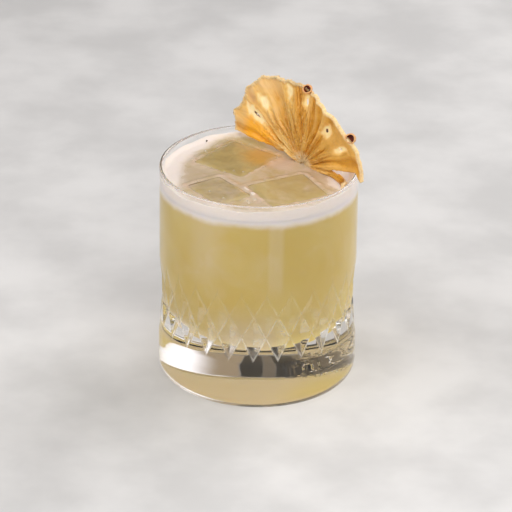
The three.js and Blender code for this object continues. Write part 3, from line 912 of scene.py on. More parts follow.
@dataclass(frozen=True)
class TumblerOutline:
    """Sizes of the tumbler and of the space inside it."""

    height: float = 95.5
    outer_radius: float = 42.0
    lip: float = 0.65
    foot_radius: float = 36.6
    foot_rise: float = 6.4
    base_radius: float = 42.3
    base_top: float = 17.0
    bowl_floor: float = 18.5
    bowl_top: float = 40.0
    bowl_radius: float = 37.6
    bowl_power: float = 2.1
    wall_power: float = 0.55
    cut_count: int = 25
    cut_half: float = 10.0
    cut_top: float = 54.0
    cut_depth: float = 0.95
    cut_turn: float = 5.3
    waist_depth: float = 1.1
    waist_foot: float = 0.45

    @property
    def cut_foot(self) -> float:
        """Height of the lower row's lower tips."""
        return self.cut_top - 3 * self.cut_half

    @property
    def lip_base(self) -> float:
        """Height where the wall turns into the rounded lip."""
        return self.height - self.lip

    def wall_inside(self, z: float) -> float:
        """Returns the radius of the inside of the wall at a height above the bowl."""
        lip_inner = self.outer_radius - 2 * self.lip
        share = ramp(z, self.bowl_top, self.lip_base) ** self.wall_power
        return blend(self.bowl_radius, lip_inner, share)

    def inside(self, top: float, gap: float, bowl_steps: int, wall_steps: int) -> Profile:
        """Works out the outline of the inside.

        Args:
            top: the height where it ends.
            gap: how far it lies inside the glass's surface, below 0 if it reaches into the glass.
            bowl_steps: steps round the bowl.
            wall_steps: steps up the wall.

        Returns:
            Radius and height of each point, from the axis upwards.
        """
        points = []
        depth = self.bowl_top - self.bowl_floor - gap
        for i in range(bowl_steps + 1):
            angle = math.pi / 2 * i / bowl_steps
            across = abs(math.sin(angle)) ** (2 / self.bowl_power) if i else 0.0
            down = abs(math.cos(angle)) ** (2 / self.bowl_power) if i < bowl_steps else 0.0
            points.append(((self.bowl_radius - gap) * across, self.bowl_top - depth * down))
        for i in range(1, wall_steps + 1):
            z = blend(self.bowl_top, top, i / wall_steps)
            points.append((self.wall_inside(z) - gap, z))
        return points

    def waist(self, z: float) -> float:
        """Returns how deep the belt's ridges lie inside the wall at a height."""
        below = self.waist_depth * ramp(z, self.cut_top, self.cut_top - self.cut_half)
        foot = ramp(z, self.cut_foot + self.cut_half, self.cut_foot)
        return below - (self.waist_depth - self.waist_foot) * foot

    def lozenge(self, across: float, up: float) -> float:
        """Returns the share of the full cut depth at a place on the belt.

        Args:
            across: lozenges counted round the tumbler.
            up: half heights counted from the upper row's middle.

        Returns:
            1 in a lozenge's middle, 0 on the ridges and less on the plain wall beside the belt.
        """
        upper = 1 - 2 * abs(across - round(across)) - abs(up)
        shifted = across - 0.5
        lower = 1 - 2 * abs(shifted - round(shifted)) - abs(up + 1)
        return max(upper, lower)


@dataclass
class Tumbler:
    """The heavy cut tumbler, with crisp lozenges."""

    outline: TumblerOutline
    glass: ClearGlass = field(default_factory=ClearGlass)
    columns_in_cut: int = 20
    round_steps: int = 14
    plain_steps: int = 6
    wall_steps: int = 16
    bowl_steps: int = 32
    inside_steps: int = 20
    belt_reach: float = 2.2
    # Strengths of the painted light on the left, right and upper facets, of the ridges' wear with painted
    # glints, and the least share high on the belt.
    painted_light_left: float = 0.10
    painted_light_right: float = 0.36
    painted_light_high: float = 0.10
    ridge_wear_and_glint: float = 0.62
    painted_light_and_wear_least: float = 0.25
    seed: int = 4

    def build(self) -> bpy.types.Object:
        """Builds and dresses the tumbler."""
        out = self.outline
        bm = spun(self._profile(), out.cut_count, self.columns_in_cut, out.cut_turn)
        self._cut_belt(bm)
        return finished(bm, "cut_tumbler", self.glass.material(), ["tumbler"])

    def _profile(self) -> Profile:
        """Returns the whole outline, from the middle of the foot round the lip to the bowl's floor."""
        out = self.outline
        profile = [(0.0, 0.0), (12.0, 0.0), (24.0, 0.0), (out.foot_radius, 0.0)]
        for i in range(1, self.round_steps + 1):
            angle = math.pi / 2 * i / self.round_steps
            radius = blend(out.foot_radius, out.base_radius, math.sin(angle))
            profile.append((radius, out.foot_rise * (1 - math.cos(angle))))
        steps = self.plain_steps
        for i in range(1, steps + 1):
            profile.append((out.base_radius, blend(out.foot_rise, out.base_top, i / steps)))
        belt_foot = out.outer_radius - out.waist(out.cut_foot)
        for i in range(1, steps):
            radius = blend(out.base_radius, belt_foot, smooth(i / steps, 0, 1))
            profile.append((radius, blend(out.base_top, out.cut_foot, i / steps)))
        rows = round(3 * self.columns_in_cut / 2)
        for i in range(rows + 1):
            z = blend(out.cut_foot, out.cut_top, i / rows)
            profile.append((out.outer_radius - out.waist(z), z))
        for i in range(1, self.wall_steps):
            profile.append((out.outer_radius, blend(out.cut_top, out.lip_base, i / self.wall_steps)))
        for i in range(self.round_steps + 1):
            angle = math.pi * i / self.round_steps
            radius = out.outer_radius - out.lip + out.lip * math.cos(angle)
            profile.append((radius, out.lip_base + out.lip * math.sin(angle)))
        inside = out.inside(out.lip_base, 0.0, self.bowl_steps, self.inside_steps)
        return profile + inside[-2::-1]

    def _on_belt(self, place: Vector) -> bool:
        """Tells whether a place lies on the outside of the cut belt."""
        out = self.outline
        near_wall = math.hypot(place.x, place.y) > out.outer_radius - self.belt_reach
        return near_wall and out.cut_foot - CLOSE <= place.z <= out.cut_top + CLOSE

    def _on_lozenge(self, place: Vector) -> tuple[float, float]:
        """Returns a place as lozenges counted round the tumbler and half heights from the upper row."""
        out = self.outline
        across = (turn_of(place) - out.cut_turn) * out.cut_count / 360
        return across, (place.z - out.cut_top + out.cut_half) / out.cut_half

    def _depth_share(self, place: Vector) -> float:
        """Returns the share of the full cut depth at a place on the belt."""
        return max(self.outline.lozenge(*self._on_lozenge(place)), 0.0)

    def _cut_belt(self, bm: bmesh.types.BMesh) -> None:
        """Cuts the lozenges, with an edge of the mesh along every ridge."""
        ridge = 1e-3
        cut, painted_light_and_wear = (bm.verts.layers.float.new(name) for name in ("cut", "painted_light_and_wear"))
        belt = [vert for vert in bm.verts if self._on_belt(vert.co)]
        inside = set(belt)
        for face in [face for vert in belt for face in vert.link_faces]:
            if not face.is_valid or len(face.verts) != 4 or not inside.issuperset(face.verts):
                continue
            a, b, c, d = face.verts
            for p, q, other, last in ((a, c, b, d), (b, d, a, c)):
                along = self._depth_share((p.co + q.co) / 2)
                across = self._depth_share((other.co + last.co) / 2)
                if along < ridge and self._depth_share(p.co) < ridge and across < along + ridge:
                    if self._depth_share(other.co) > ridge or self._depth_share(last.co) > ridge:
                        bmesh.utils.face_split(face, p, q)
                        break
        draw = random.Random(self.seed)
        tones = [draw.uniform(0.0, 1.0) for _ in range(8 * self.outline.cut_count)]
        for vert in belt:
            vert[cut] = self._depth_share(vert.co)
            vert[painted_light_and_wear] = self._painted_light_and_wear(vert.co, tones)
            depth = vert[cut] * self.outline.cut_depth
            radius = math.hypot(vert.co.x, vert.co.y)
            vert.co.x *= 1 - depth / radius
            vert.co.y *= 1 - depth / radius

    def _painted_light_and_wear(self, place: Vector, tones: list[float]) -> float:
        """Returns how much pale light and wear is painted on the belt at a place: facets on the right and
        high up are painted lighter, as if lit, and the ridges are worn and carry painted glints.

        Args:
            place: a place on the belt, before the cuts have their depth.
            tones: a random strength for each facet.

        Returns:
            0 where the glass is clear, more where light and wear are painted.
        """
        out = self.outline
        across, up = self._on_lozenge(place)
        share = out.lozenge(across, up)
        upper = 1 - 2 * abs(across - round(across)) - abs(up) >= share - 1e-6
        middle = round(across) if upper else round(across - 0.5) + 0.5
        right = across > middle
        high = up > (0 if upper else -1)
        # Painted light: right and upper facets are painted lighter, as if they faced the lamps.
        lit = (self.painted_light_right if right else self.painted_light_left) + self.painted_light_high * high
        tone = tones[round(8 * (middle % out.cut_count) + 2 * right + high) % len(tones)]
        fade = blend(self.painted_light_and_wear_least, 1.0, smooth(place.z, out.cut_top, out.cut_foot + 4))
        facet = lit * tone * smooth(share, 0.02, 0.12)
        # Painted glints on the worn ridges, stronger lower down.
        return fade * (facet + self.ridge_wear_and_glint * smooth(abs(share), 0.10, 0.0))


# Drink, foam and ice


@dataclass(frozen=True)
class IceCube:
    """One ice cube: the middle of its top, its turn and tilt in degrees, and how pale and covered it is."""

    name: str
    size: tuple[float, float, float]
    top: tuple[float, float, float]
    turn: float
    tilt: float
    paleness: float
    cover: float
    seed: float
    rounding: float = 2.6
    taper: float = 0.05
    cuts: int = 29
    melt: float = 0.35

    def mesh(self, grow: float, melted: bool) -> bmesh.types.BMesh:
        """Makes the cube as a closed mesh.

        Args:
            grow: how much larger it is on every side.
            melted: whether its top has the soft dents of melting.

        Returns:
            The mesh in millimetres, in its place.
        """
        bm = bmesh.new()
        bmesh.ops.create_cube(bm, size=1.0)
        bmesh.ops.subdivide_edges(bm, edges=bm.edges, cuts=self.cuts, use_grid_fill=True)
        half = Vector(self.size) / 2 + Vector((grow, grow, grow))
        core = half - Vector((self.rounding,) * 3)
        for vert in bm.verts:
            place = Vector(2 * vert.co[k] * half[k] for k in range(3))
            inner = Vector(min(max(place[k], -core[k]), core[k]) for k in range(3))
            place = inner + (place - inner).normalized() * self.rounding
            share = 1 - self.taper * (0.5 - place.z / (2 * half.z))
            vert.co = Vector((place.x * share, place.y * share, place.z))
        if melted:
            self._melt(bm, half.z)
        turn = Matrix.Rotation(math.radians(self.turn), 4, "Z")
        tilt = Matrix.Rotation(math.radians(self.tilt), 4, "X")
        middle = Vector(self.top) - Vector((0, 0, self.size[2] / 2))
        bmesh.ops.transform(bm, matrix=Matrix.Translation(middle) @ turn @ tilt, verts=bm.verts)
        return bm

    def _melt(self, bm: bmesh.types.BMesh, half_tall: float) -> None:
        """Dents the top of the cube, inside its box."""
        for vert in bm.verts:
            near_top = smooth(vert.co.z, half_tall - 2.4, half_tall - 0.2)
            swell = noise.noise(Vector((vert.co.x * 0.12, vert.co.y * 0.12, self.seed)))
            small = noise.noise(Vector((vert.co.x * 0.4, vert.co.y * 0.4, self.seed + 5)))
            vert.co.z -= near_top * self.melt * (0.5 + 0.8 * swell + 0.25 * small)

    def outside(self, x: float, y: float) -> float:
        """Returns how far a place in plan lies outside the cube, below 0 inside it."""
        angle = math.radians(-self.turn)
        dx, dy = x - self.top[0], y - self.top[1]
        across = abs(dx * math.cos(angle) - dy * math.sin(angle)) - self.size[0] / 2 + self.rounding
        deep = abs(dx * math.sin(angle) + dy * math.cos(angle)) - self.size[1] / 2 + self.rounding
        return math.hypot(max(across, 0), max(deep, 0)) + min(max(across, deep), 0) - self.rounding

    def build(self, finish: bpy.types.Material) -> bpy.types.Object:
        """Builds and dresses the cube."""
        bm = self.mesh(0.0, melted=True)
        paleness = bm.verts.layers.float.new("paleness")
        cover = bm.verts.layers.float.new("cover")
        for vert in bm.verts:
            rim = smooth(-self.outside(vert.co.x, vert.co.y), 1.4, 0.2)
            vert[paleness] = self.paleness + 0.35 * rim
            vert[cover] = self.cover + 0.2 * rim
        return finished(bm, self.name.replace("cube", "block"), finish, [self.name])


ICE_CUBES = (
    IceCube("ice_cube_back", (29, 27, 26), (-9.6, 13.2, 92.7), 54, 1.5, 0.08, 0.80, 1.0),
    IceCube("ice_cube_left", (19, 26, 24), (-16.6, -18.6, 92.4), 35, -1.6, 0.42, 0.82, 2.0),
    IceCube("ice_cube_right", (29, 25.5, 25), (12.1, -17.2, 92.3), 28, 1.2, 0.26, 0.92, 3.0),
)
INTO_WALL = 0.08
INTO_ICE = 0.05


@dataclass
class Cocktail:
    """The cloudy drink, which reaches just into the glass, with hollows for the ice."""

    outline: TumblerOutline
    finish: CloudyDrink = field(default_factory=CloudyDrink)
    top: float = 88.35
    bowl_steps: int = 28
    wall_steps: int = 30
    wedges: int = 10
    steps: int = 18

    def build(self) -> bpy.types.Object:
        """Builds and dresses the drink."""
        profile = self.outline.inside(self.top, -INTO_WALL, self.bowl_steps, self.wall_steps)
        profile += [(30.0, self.top), (15.0, self.top), (0.0, self.top)]
        bm = spun(profile, self.wedges, self.steps)
        piece = finished(bm, "cloudy_drink", self.finish.material(), ["cocktail"])
        carve(piece, [cube.mesh(-INTO_ICE, melted=False) for cube in ICE_CUBES])
        return piece


@dataclass
class FoamHead:
    """The foam on the drink, which climbs the wall and the ice."""

    outline: TumblerOutline
    finish: Froth = field(default_factory=Froth)
    bottom: float = 88.3
    top: float = 91.5
    collar: float = 1.1
    cling: float = 1.4
    cling_turn: float = 110.0
    collar_wide: float = 2.9
    ice_collar_wide: float = 1.7
    wedges: int = 10
    steps: int = 30
    rings: int = 60

    def build(self) -> bpy.types.Object:
        """Builds and dresses the foam."""
        wall = self.outline.wall_inside(self.top) + INTO_WALL
        foot = self.outline.wall_inside(self.bottom) + INTO_WALL
        profile = [(0.0, self.bottom), (20.0, self.bottom), (foot, self.bottom)]
        profile += [(blend(foot, wall, i / 4), blend(self.bottom, self.top, i / 4)) for i in range(1, 5)]
        profile += [(wall - 0.02 * i, self.top + 0.001 * i) for i in range(1, 3)]
        profile += [(wall * (1 - i / self.rings), self.top + 0.01) for i in range(1, self.rings)]
        profile.append((0.0, self.top + 0.01))
        bm = spun(profile, self.wedges, self.steps)
        wet_top = [vert for vert in bm.verts if vert.co.z > self.top - 0.001]
        for vert in wet_top:
            vert.co.z = self._surface(vert.co.x, vert.co.y, wall)
        piece = finished(bm, "foam_head", self.finish.material(), ["foam"])
        carve(piece, [cube.mesh(-INTO_ICE, melted=False) for cube in ICE_CUBES])
        return piece

    def _surface(self, x: float, y: float, wall: float) -> float:
        """Returns the height of the foam at a place in plan."""
        radius = math.hypot(x, y)
        turn = math.atan2(x, -y)
        near_high_side = 0.5 + 0.5 * math.cos(turn - math.radians(self.cling_turn))
        uneven = 0.2 * math.sin(9 * turn) + 0.15 * math.sin(17 * turn + 1)
        uneven += 0.12 * noise.noise(Vector((x * 0.9, y * 0.9, 3)))
        climb = self.collar + self.cling * near_high_side**2 + uneven
        height = self.top + climb * smooth(radius, wall - self.collar_wide, wall - 0.1) ** 1.3
        for cube in ICE_CUBES:
            patch = 0.5 + 0.5 * noise.noise(Vector((x * 0.33, y * 0.33, cube.seed)))
            height += (0.2 + 0.8 * patch) * math.exp(-((cube.outside(x, y) / self.ice_collar_wide) ** 2))
        height += 0.12 * noise.noise(Vector((x * 0.12, y * 0.12, 7)))
        height += 0.05 * noise.noise(Vector((x * 0.7, y * 0.7, 9)))
        return height


# Dried pineapple


@dataclass(frozen=True)
class Eye:
    """A pit left by an eye of the fruit, with a small hole if it dried through."""

    reach: float
    angle: float
    wide: float = 0.0
    high: float = 0.0
    long: float = 3.6
    broad: float = 2.0

    def nearness(self, reach: float, degrees: float) -> float:
        """Returns 1 in the middle of the pit and 0 far from it."""
        arc = math.radians(degrees - self.angle) * self.reach
        away = math.hypot((reach - self.reach) / self.long, arc / self.broad)
        away *= 1 + 0.5 * noise.noise(Vector((reach * 0.45, degrees * 0.22, self.angle)))
        return math.exp(-away * away)


@dataclass(frozen=True)
class Tube:
    """A rind eye dried to an open tube: the middle of its mouth, from the core, and its radii."""

    name: str
    length: float
    rise: float
    out: float
    outer: float
    inner: float
    long: float = 4.2
    deep: float = 2.6


class Side(Enum):
    """The two parts of the half wheel, above and below the slit."""

    UPPER = "upper"
    TONGUE = "tongue"


class Spot(NamedTuple):
    """Where a vertex of the slice's grid lies, and how far the edge reaches at its angle."""

    column: int
    ring: int
    side: Side
    reach: float
    degrees: float
    edge: float


Spots = dict[bmesh.types.BMVert, Spot]


@dataclass
class PineappleSlice:
    """Half a dried wheel that stands on its straight edge, slotted on the rim.

    A place on it is a reach from the core and degrees from the back left over the top.
    """

    WHEEL = "wheel"
    FULL_TURN = 200.0
    FULL_REACH = 50.0
    LAYERS = ("eye", "rind", "crest", "fold", "calm")

    finish: DriedPineapple = field(default_factory=DriedPineapple)
    core: tuple[float, float, float] = (18.8, 10.0, 91.5)
    yaw: float = 45.0
    thickness: float = 1.35
    rind_thickness: float = 1.65
    rind_wide: float = 1.5
    edge_lift: float = 2.7
    core_hollow: float = 0.9
    slit_angle: float = 168.0
    slit_inner: float = 17.0
    slit_width: float = 1.6
    hang_from: float = 31.3
    hang_to: float = 35.0
    hang_drop: float = 4.2
    tongue_end: float = 184.0
    tongue_reach: float = 26.8
    tongue_slant: float = 1.7
    tongue_forward: float = 6.6
    tongue_flatten: float = 0.7
    fringe: float = 0.6
    crumb: float = 0.42
    pit_depth: float = 0.4
    pit_thinning: float = 0.55
    upper_columns: int = 400
    tongue_columns: int = 44
    inner_rings: int = 30
    outer_rings: int = 44
    pleat: float = 0.8
    fold: float = 0.75
    outline: tuple[tuple[float, float], ...] = (
        (1, 39.8), (8, 40.3), (15, 42), (23, 40.2), (31, 40.2), (37, 41.5), (45, 40.8), (52, 41),
        (62, 39), (72, 37), (84, 36.2), (103, 34), (120, 33.8), (134, 34.5), (149, 36), (168, 35.2),
    )
    eyes: tuple[Eye, ...] = (
        Eye(30.8, 28, 0.95, 0.55, long=6.4, broad=2.9),
        Eye(31.4, 45, long=5.0, broad=3.4),
        Eye(31.9, 75.5, long=4.4, broad=2.5),
        Eye(29.1, 93, 0.55, 1.8, long=3.8, broad=1.7),
        Eye(24.4, 125, long=4.6, broad=3.3),
        Eye(26.2, 147.5, 1.1, 0.6, long=5.2, broad=2.1),
    )
    tubes: tuple[Tube, ...] = (
        Tube("rind_tube_top", 3.2, 36.2, 2, 1.95, 1.4),
        Tube("rind_tube_side", 29.2, 22.1, 2.5, 2.2, 1.65),
    )
    tube_facing: tuple[float, float, float] = (-0.2, -0.9, 0.38)

    @property
    def facing(self) -> Vector:
        """The way that the slice faces."""
        return self.from_core(0, 0, 1) - Vector(self.core)

    def from_core(self, length: float, rise: float, out: float) -> Vector:
        """Returns the place at a length along the chord, a rise and a distance towards the front."""
        angle = math.radians(self.yaw)
        along = Vector((math.cos(angle), -math.sin(angle), 0))
        facing = Vector((-math.sin(angle), -math.cos(angle), 0))
        return Vector(self.core) + along * length + facing * out + Vector((0, 0, rise))

    def rind_reach(self, degrees: float) -> float:
        """Returns the reach of the uneven rind at an angle."""
        reach = self.outline[-1][1]
        for (angle_a, reach_a), (angle_b, reach_b) in zip(self.outline, self.outline[1:]):
            if degrees <= angle_b:
                reach = blend(reach_a, reach_b, smooth(degrees, angle_a, angle_b))
                break
        angle = math.radians(degrees)
        calm = 1 - 0.65 * smooth(degrees, 90, 112)
        teeth = calm * (0.22 * math.sin(29 * angle) + 0.16 * math.sin(47 * angle + 2))
        crumbs = 0.35 * noise.noise(Vector((degrees * 0.9, 0, 21)))
        crumbs += 0.2 * noise.noise(Vector((degrees * 2.3, 0, 5)))
        return reach + teeth + calm * crumbs

    def buckle(self, reach: float, degrees: float) -> float:
        """Returns how far the dried sheet stands out of its plane, towards the front."""
        waves = 0.55 * math.sin(math.radians(degrees) * 9.5 + 0.7) * smooth(reach, 8, 30)
        span = smooth(degrees, 94, 114) * (1 - smooth(degrees, 138, 158))
        curl = 3.2 * span * ramp(reach, 19, 35) ** 1.6
        belly = 1.1 * math.sin(math.pi * min(degrees / 60, 1)) * smooth(reach, 10, 34)
        return waves + curl + belly

    def middle(self, side: Side, reach: float, degrees: float) -> Vector:
        """Returns a place on the middle of the sheet."""
        angle = math.radians(degrees)
        length = -reach * math.cos(angle)
        if side is Side.UPPER:
            lift = self.edge_lift * smooth(reach, 3, 13) * (1 - smooth(degrees, 0, 30))
            hang = smooth(reach, self.hang_from, self.hang_to) * smooth(degrees, 150, self.slit_angle)
            rise = reach * math.sin(angle) + lift - self.hang_drop * hang
            return self.from_core(length, rise, self.buckle(reach, degrees))
        bend = ramp(reach, self.slit_inner - 4, self.tongue_reach + self.tongue_slant) ** 2
        below = (degrees - self.slit_angle) / (self.tongue_end - self.slit_angle)
        forward = self.tongue_forward * below * bend
        rise = reach * math.sin(angle) * (1 - self.tongue_flatten * bend)
        return self.from_core(length, rise, self.buckle(reach, degrees) * (1 - bend) + forward)

    def relief(self, reach: float, degrees: float) -> tuple[float, float]:
        """Works out the height of the sheet's surface above its middle.

        Returns:
            The broad folds and the fine pleats and fibres, each about -1 to 1.
        """
        sway = 3.0 * noise.noise(Vector((degrees * 0.05, reach * 0.09, 31)))
        turned = degrees + sway
        broad = creases(turned * 0.085, reach * 0.012, 7.0)
        pleats = creases(turned * 0.2, reach * 0.02, 1.0)
        bundles = creases(turned * 0.72, reach * 0.04, 2.0)
        fibres = creases(turned * 1.5, reach * 0.08, 3.0)
        near = 1 - smooth(reach, 14, 30)
        share = smooth(reach, 1.0, 9) * (1 - 0.4 * smooth(reach, 26, 37))
        fine = 0.28 * pleats + (0.32 + 0.25 * near) * bundles + (0.12 + 0.12 * near) * fibres
        return share * broad, share * fine * (1 - 0.8 * self.calm(reach, degrees))

    def calm(self, reach: float, degrees: float) -> float:
        """Returns how far the fibres have sunk into smooth skin at a place, 0 to 1."""
        wander = 4.0 * noise.noise(Vector((degrees * 0.06, reach * 0.05, 51)))
        left = smooth(reach + wander, 19, 27) * (1 - smooth(degrees, 58, 74))
        right = smooth(reach + wander, 12, 21) * smooth(degrees, 92, 104)
        return max(left, right)

    def _columns(self) -> list[tuple[Side, float]]:
        """Returns the side and angle of each column, from the back left to the tongue's end."""
        first = self.outline[0][0]
        after_slit = self.slit_angle + math.degrees(self.slit_width / self.slit_inner)
        upper = [
            (Side.UPPER, blend(first, self.slit_angle, i / (self.upper_columns - 1)))
            for i in range(self.upper_columns)
        ]
        tongue = [
            (Side.TONGUE, blend(after_slit, self.tongue_end, i / (self.tongue_columns - 1)))
            for i in range(self.tongue_columns)
        ]
        return upper + tongue

    def _edge(self, side: Side, degrees: float) -> float:
        """Returns the reach of the outer edge at an angle."""
        if side is Side.UPPER:
            jag = noise.noise(Vector((degrees * 0.55, 5, 31)))
            jag += 0.6 * noise.noise(Vector((degrees * 1.2, 9, 53)))
            return self.rind_reach(degrees) + self.fringe * (1 - 0.5 * smooth(degrees, 88, 112)) * jag
        slant = self.tongue_slant * (degrees - self.slit_angle) / (self.tongue_end - self.slit_angle)
        return self.tongue_reach + slant + 0.4 * noise.noise(Vector((degrees * 0.8, 0, 77)))

    def build(self) -> list[bpy.types.Object]:
        """Builds and dresses the slice and its tubes."""
        bm = bmesh.new()
        spots = self._grid(bm)
        self._stand(bm, spots)
        self._raise_relief(bm, spots)
        self._unroll(bm, spots)
        self._open_eyes(bm)
        piece = finished(bm, "dried_slice", self.finish.material(), ["pineapple_slice"])
        self._thicken(piece)
        tube_finish = DriedTube().material()
        return [piece] + [self._tube(tube, tube_finish) for tube in self.tubes]

    def _grid(self, bm: bmesh.types.BMesh) -> Spots:
        """Makes the slice's grid, still flat, with its layers and without the slit.

        Args:
            bm: the empty mesh that takes it.

        Returns:
            Where each vertex lies on the slice.
        """
        columns = self._columns()
        rings = self.inner_rings + self.outer_rings
        bmesh.ops.create_grid(bm, x_segments=len(columns) - 1, y_segments=rings, size=1.0)
        bm.loops.layers.uv.new(self.WHEEL)
        for name in self.LAYERS:
            bm.verts.layers.float.new(name)
        bm.verts.layers.deform.verify()
        spots = {}
        for vert in bm.verts:
            column = round((vert.co.x + 1) / 2 * (len(columns) - 1))
            ring = round((vert.co.y + 1) / 2 * rings)
            side, degrees = columns[column]
            edge = self._edge(side, degrees)
            inner = blend(self.core_hollow, self.slit_inner, ramp(ring, 0, self.inner_rings))
            reach = inner + (edge - self.slit_inner) * ramp(ring, self.inner_rings, rings)
            spots[vert] = Spot(column, ring, side, reach, degrees, edge)
        beside_slit = {self.upper_columns - 1, self.upper_columns}
        slit = [
            face for face in bm.faces
            if {spots[vert].column for vert in face.verts} == beside_slit
            and max(spots[vert].ring for vert in face.verts) > self.inner_rings
        ]
        bmesh.ops.delete(bm, geom=slit, context="FACES")
        return spots

    def _stand(self, bm: bmesh.types.BMesh, spots: Spots) -> None:
        """Puts each vertex on the middle of the sheet, and turns the faces to the front."""
        for vert, spot in spots.items():
            vert.co = self.middle(spot.side, spot.reach, spot.degrees)
        bm.normal_update()
        if sum((face.normal for face in bm.faces), Vector()).dot(self.facing) < 0:
            bmesh.ops.reverse_faces(bm, faces=bm.faces)
            bm.normal_update()

    def _raise_relief(self, bm: bmesh.types.BMesh, spots: Spots) -> None:
        """Raises the folds, the pleats and the rind's crumbs, and sinks the pits."""
        eye_layer, rind_layer, crest_layer, fold_layer, calm_layer = (
            bm.verts.layers.float[name] for name in self.LAYERS
        )
        deform = bm.verts.layers.deform.verify()
        moves = []
        for vert, spot in spots.items():
            reach, degrees = spot.reach, spot.degrees
            upper = spot.side is Side.UPPER
            pit = max(eye.nearness(reach, degrees) for eye in self.eyes) if upper else 0.0
            rind = smooth(reach, spot.edge - self.rind_wide, spot.edge - 0.4)
            broad, fine = self.relief(reach, degrees)
            relief = self.fold * broad + self.pleat * fine
            crumb = self.crumb * rind * (1 - 0.7 * smooth(degrees, 88, 112)) * noise.noise(vert.co * 0.9)
            moves.append((vert, vert.normal * (relief * (1 - 0.7 * pit) + crumb - self.pit_depth * pit)))
            vert[eye_layer] = pit
            vert[rind_layer] = rind
            vert[crest_layer] = 0.5 + 0.6 * fine
            vert[fold_layer] = 0.5 + 0.5 * broad
            vert[calm_layer] = self.calm(reach, degrees)
            thick = blend(self.thickness, self.rind_thickness, rind) - self.pit_thinning * pit
            vert[deform][0] = thick / self.rind_thickness
        for vert, move in moves:
            vert.co += move

    def _unroll(self, bm: bmesh.types.BMesh, spots: Spots) -> None:
        """Keeps each corner's angle and reach, which the finish reads."""
        wheel = bm.loops.layers.uv[self.WHEEL]
        for face in bm.faces:
            for loop in face.loops:
                spot = spots[loop.vert]
                loop[wheel].uv = (spot.degrees / self.FULL_TURN, spot.reach / self.FULL_REACH)

    def _thicken(self, piece: bpy.types.Object) -> None:
        """Gives the sheet its thickness, which differs from place to place."""
        group = piece.vertex_groups.new(name="thickness")
        solid = piece.modifiers.new("thickness", "SOLIDIFY")
        solid.thickness = self.rind_thickness * MM
        solid.offset = 0.0
        solid.vertex_group = group.name
        solid.use_even_offset = False

    def _open_eyes(self, bm: bmesh.types.BMesh) -> None:
        """Opens the small holes of the eyes that dried through."""
        for eye in self.eyes:
            if not eye.wide:
                continue
            centre = self.middle(Side.UPPER, eye.reach, eye.angle)
            axis_x = self.facing.cross(Vector((0, 0, 1))).normalized()

            def share(vert: bmesh.types.BMVert) -> float:
                """Returns 1 on the hole's edge and less inside it."""
                offset = vert.co - centre
                return math.hypot(offset.dot(axis_x) / eye.wide, offset.z / eye.high)

            near = [v for v in bm.verts if v.is_valid and (v.co - centre).length < 5]
            inside = [v for v in near if share(v) < 1]
            ring = {w for v in inside for e in v.link_edges for w in e.verts if share(w) >= 1}
            for vert in ring:
                offset = vert.co - centre
                flat = axis_x * offset.dot(axis_x) + Vector((0, 0, offset.z))
                vert.co -= flat * (1 - 1 / share(vert))
            bmesh.ops.delete(bm, geom=inside, context="VERTS")

    def _tube(self, tube: Tube, material: bpy.types.Material) -> bpy.types.Object:
        """Builds one dried tube, with a crinkled lip."""
        outer, inner, long, deep = tube.outer, tube.inner, tube.long, tube.deep
        outside = [(0.0, -long), (outer * 0.45, -long), (outer * 0.8, -long + 0.4)]
        outside.append((outer * 0.98, -long * 0.55))
        mouth = [(outer, -0.5), (outer, 0.0), (outer * 0.93, 0.16), (inner * 1.06, 0.12), (inner, -0.2)]
        hollow = [(inner * 0.97, -deep * 0.5), (inner * 0.86, -deep), (0.0, -deep - 0.15)]
        bm = spun(outside + mouth + hollow, 4, 12)
        long_edges = [edge for edge in bm.edges if edge.calc_length() > 0.6]
        bmesh.ops.subdivide_edges(bm, edges=long_edges, cuts=1, use_grid_fill=True)
        inside = bm.verts.layers.float.new("inside")
        lip = bm.verts.layers.float.new("lip")
        for vert in bm.verts:
            radius = math.hypot(vert.co.x, vert.co.y)
            within = radius < inner * 1.03 and vert.co.z > -deep - 0.3
            vert[inside] = float(within and vert.co.z < -0.12)
            vert[lip] = smooth(vert.co.z, -0.5, -0.1) * (1 - vert[inside])
            wobble = 0.09 * noise.noise(vert.co * 0.8 + Vector((tube.rise, 0, 0)))
            vert.co.x *= 1 + wobble
            vert.co.y *= 1 + wobble
            crinkle = noise.noise(Vector((vert.co.x, vert.co.y, tube.rise)))
            vert.co.z += 0.25 * smooth(vert.co.z, -1, 0) * crinkle
        facing = Vector(self.tube_facing).normalized()
        turn = Vector((0, 0, 1)).rotation_difference(facing).to_matrix().to_4x4()
        place = self.from_core(tube.length, tube.rise, tube.out)
        bmesh.ops.transform(bm, matrix=Matrix.Translation(place) @ turn, verts=bm.verts)
        return finished(bm, tube.name, material)


# Small things


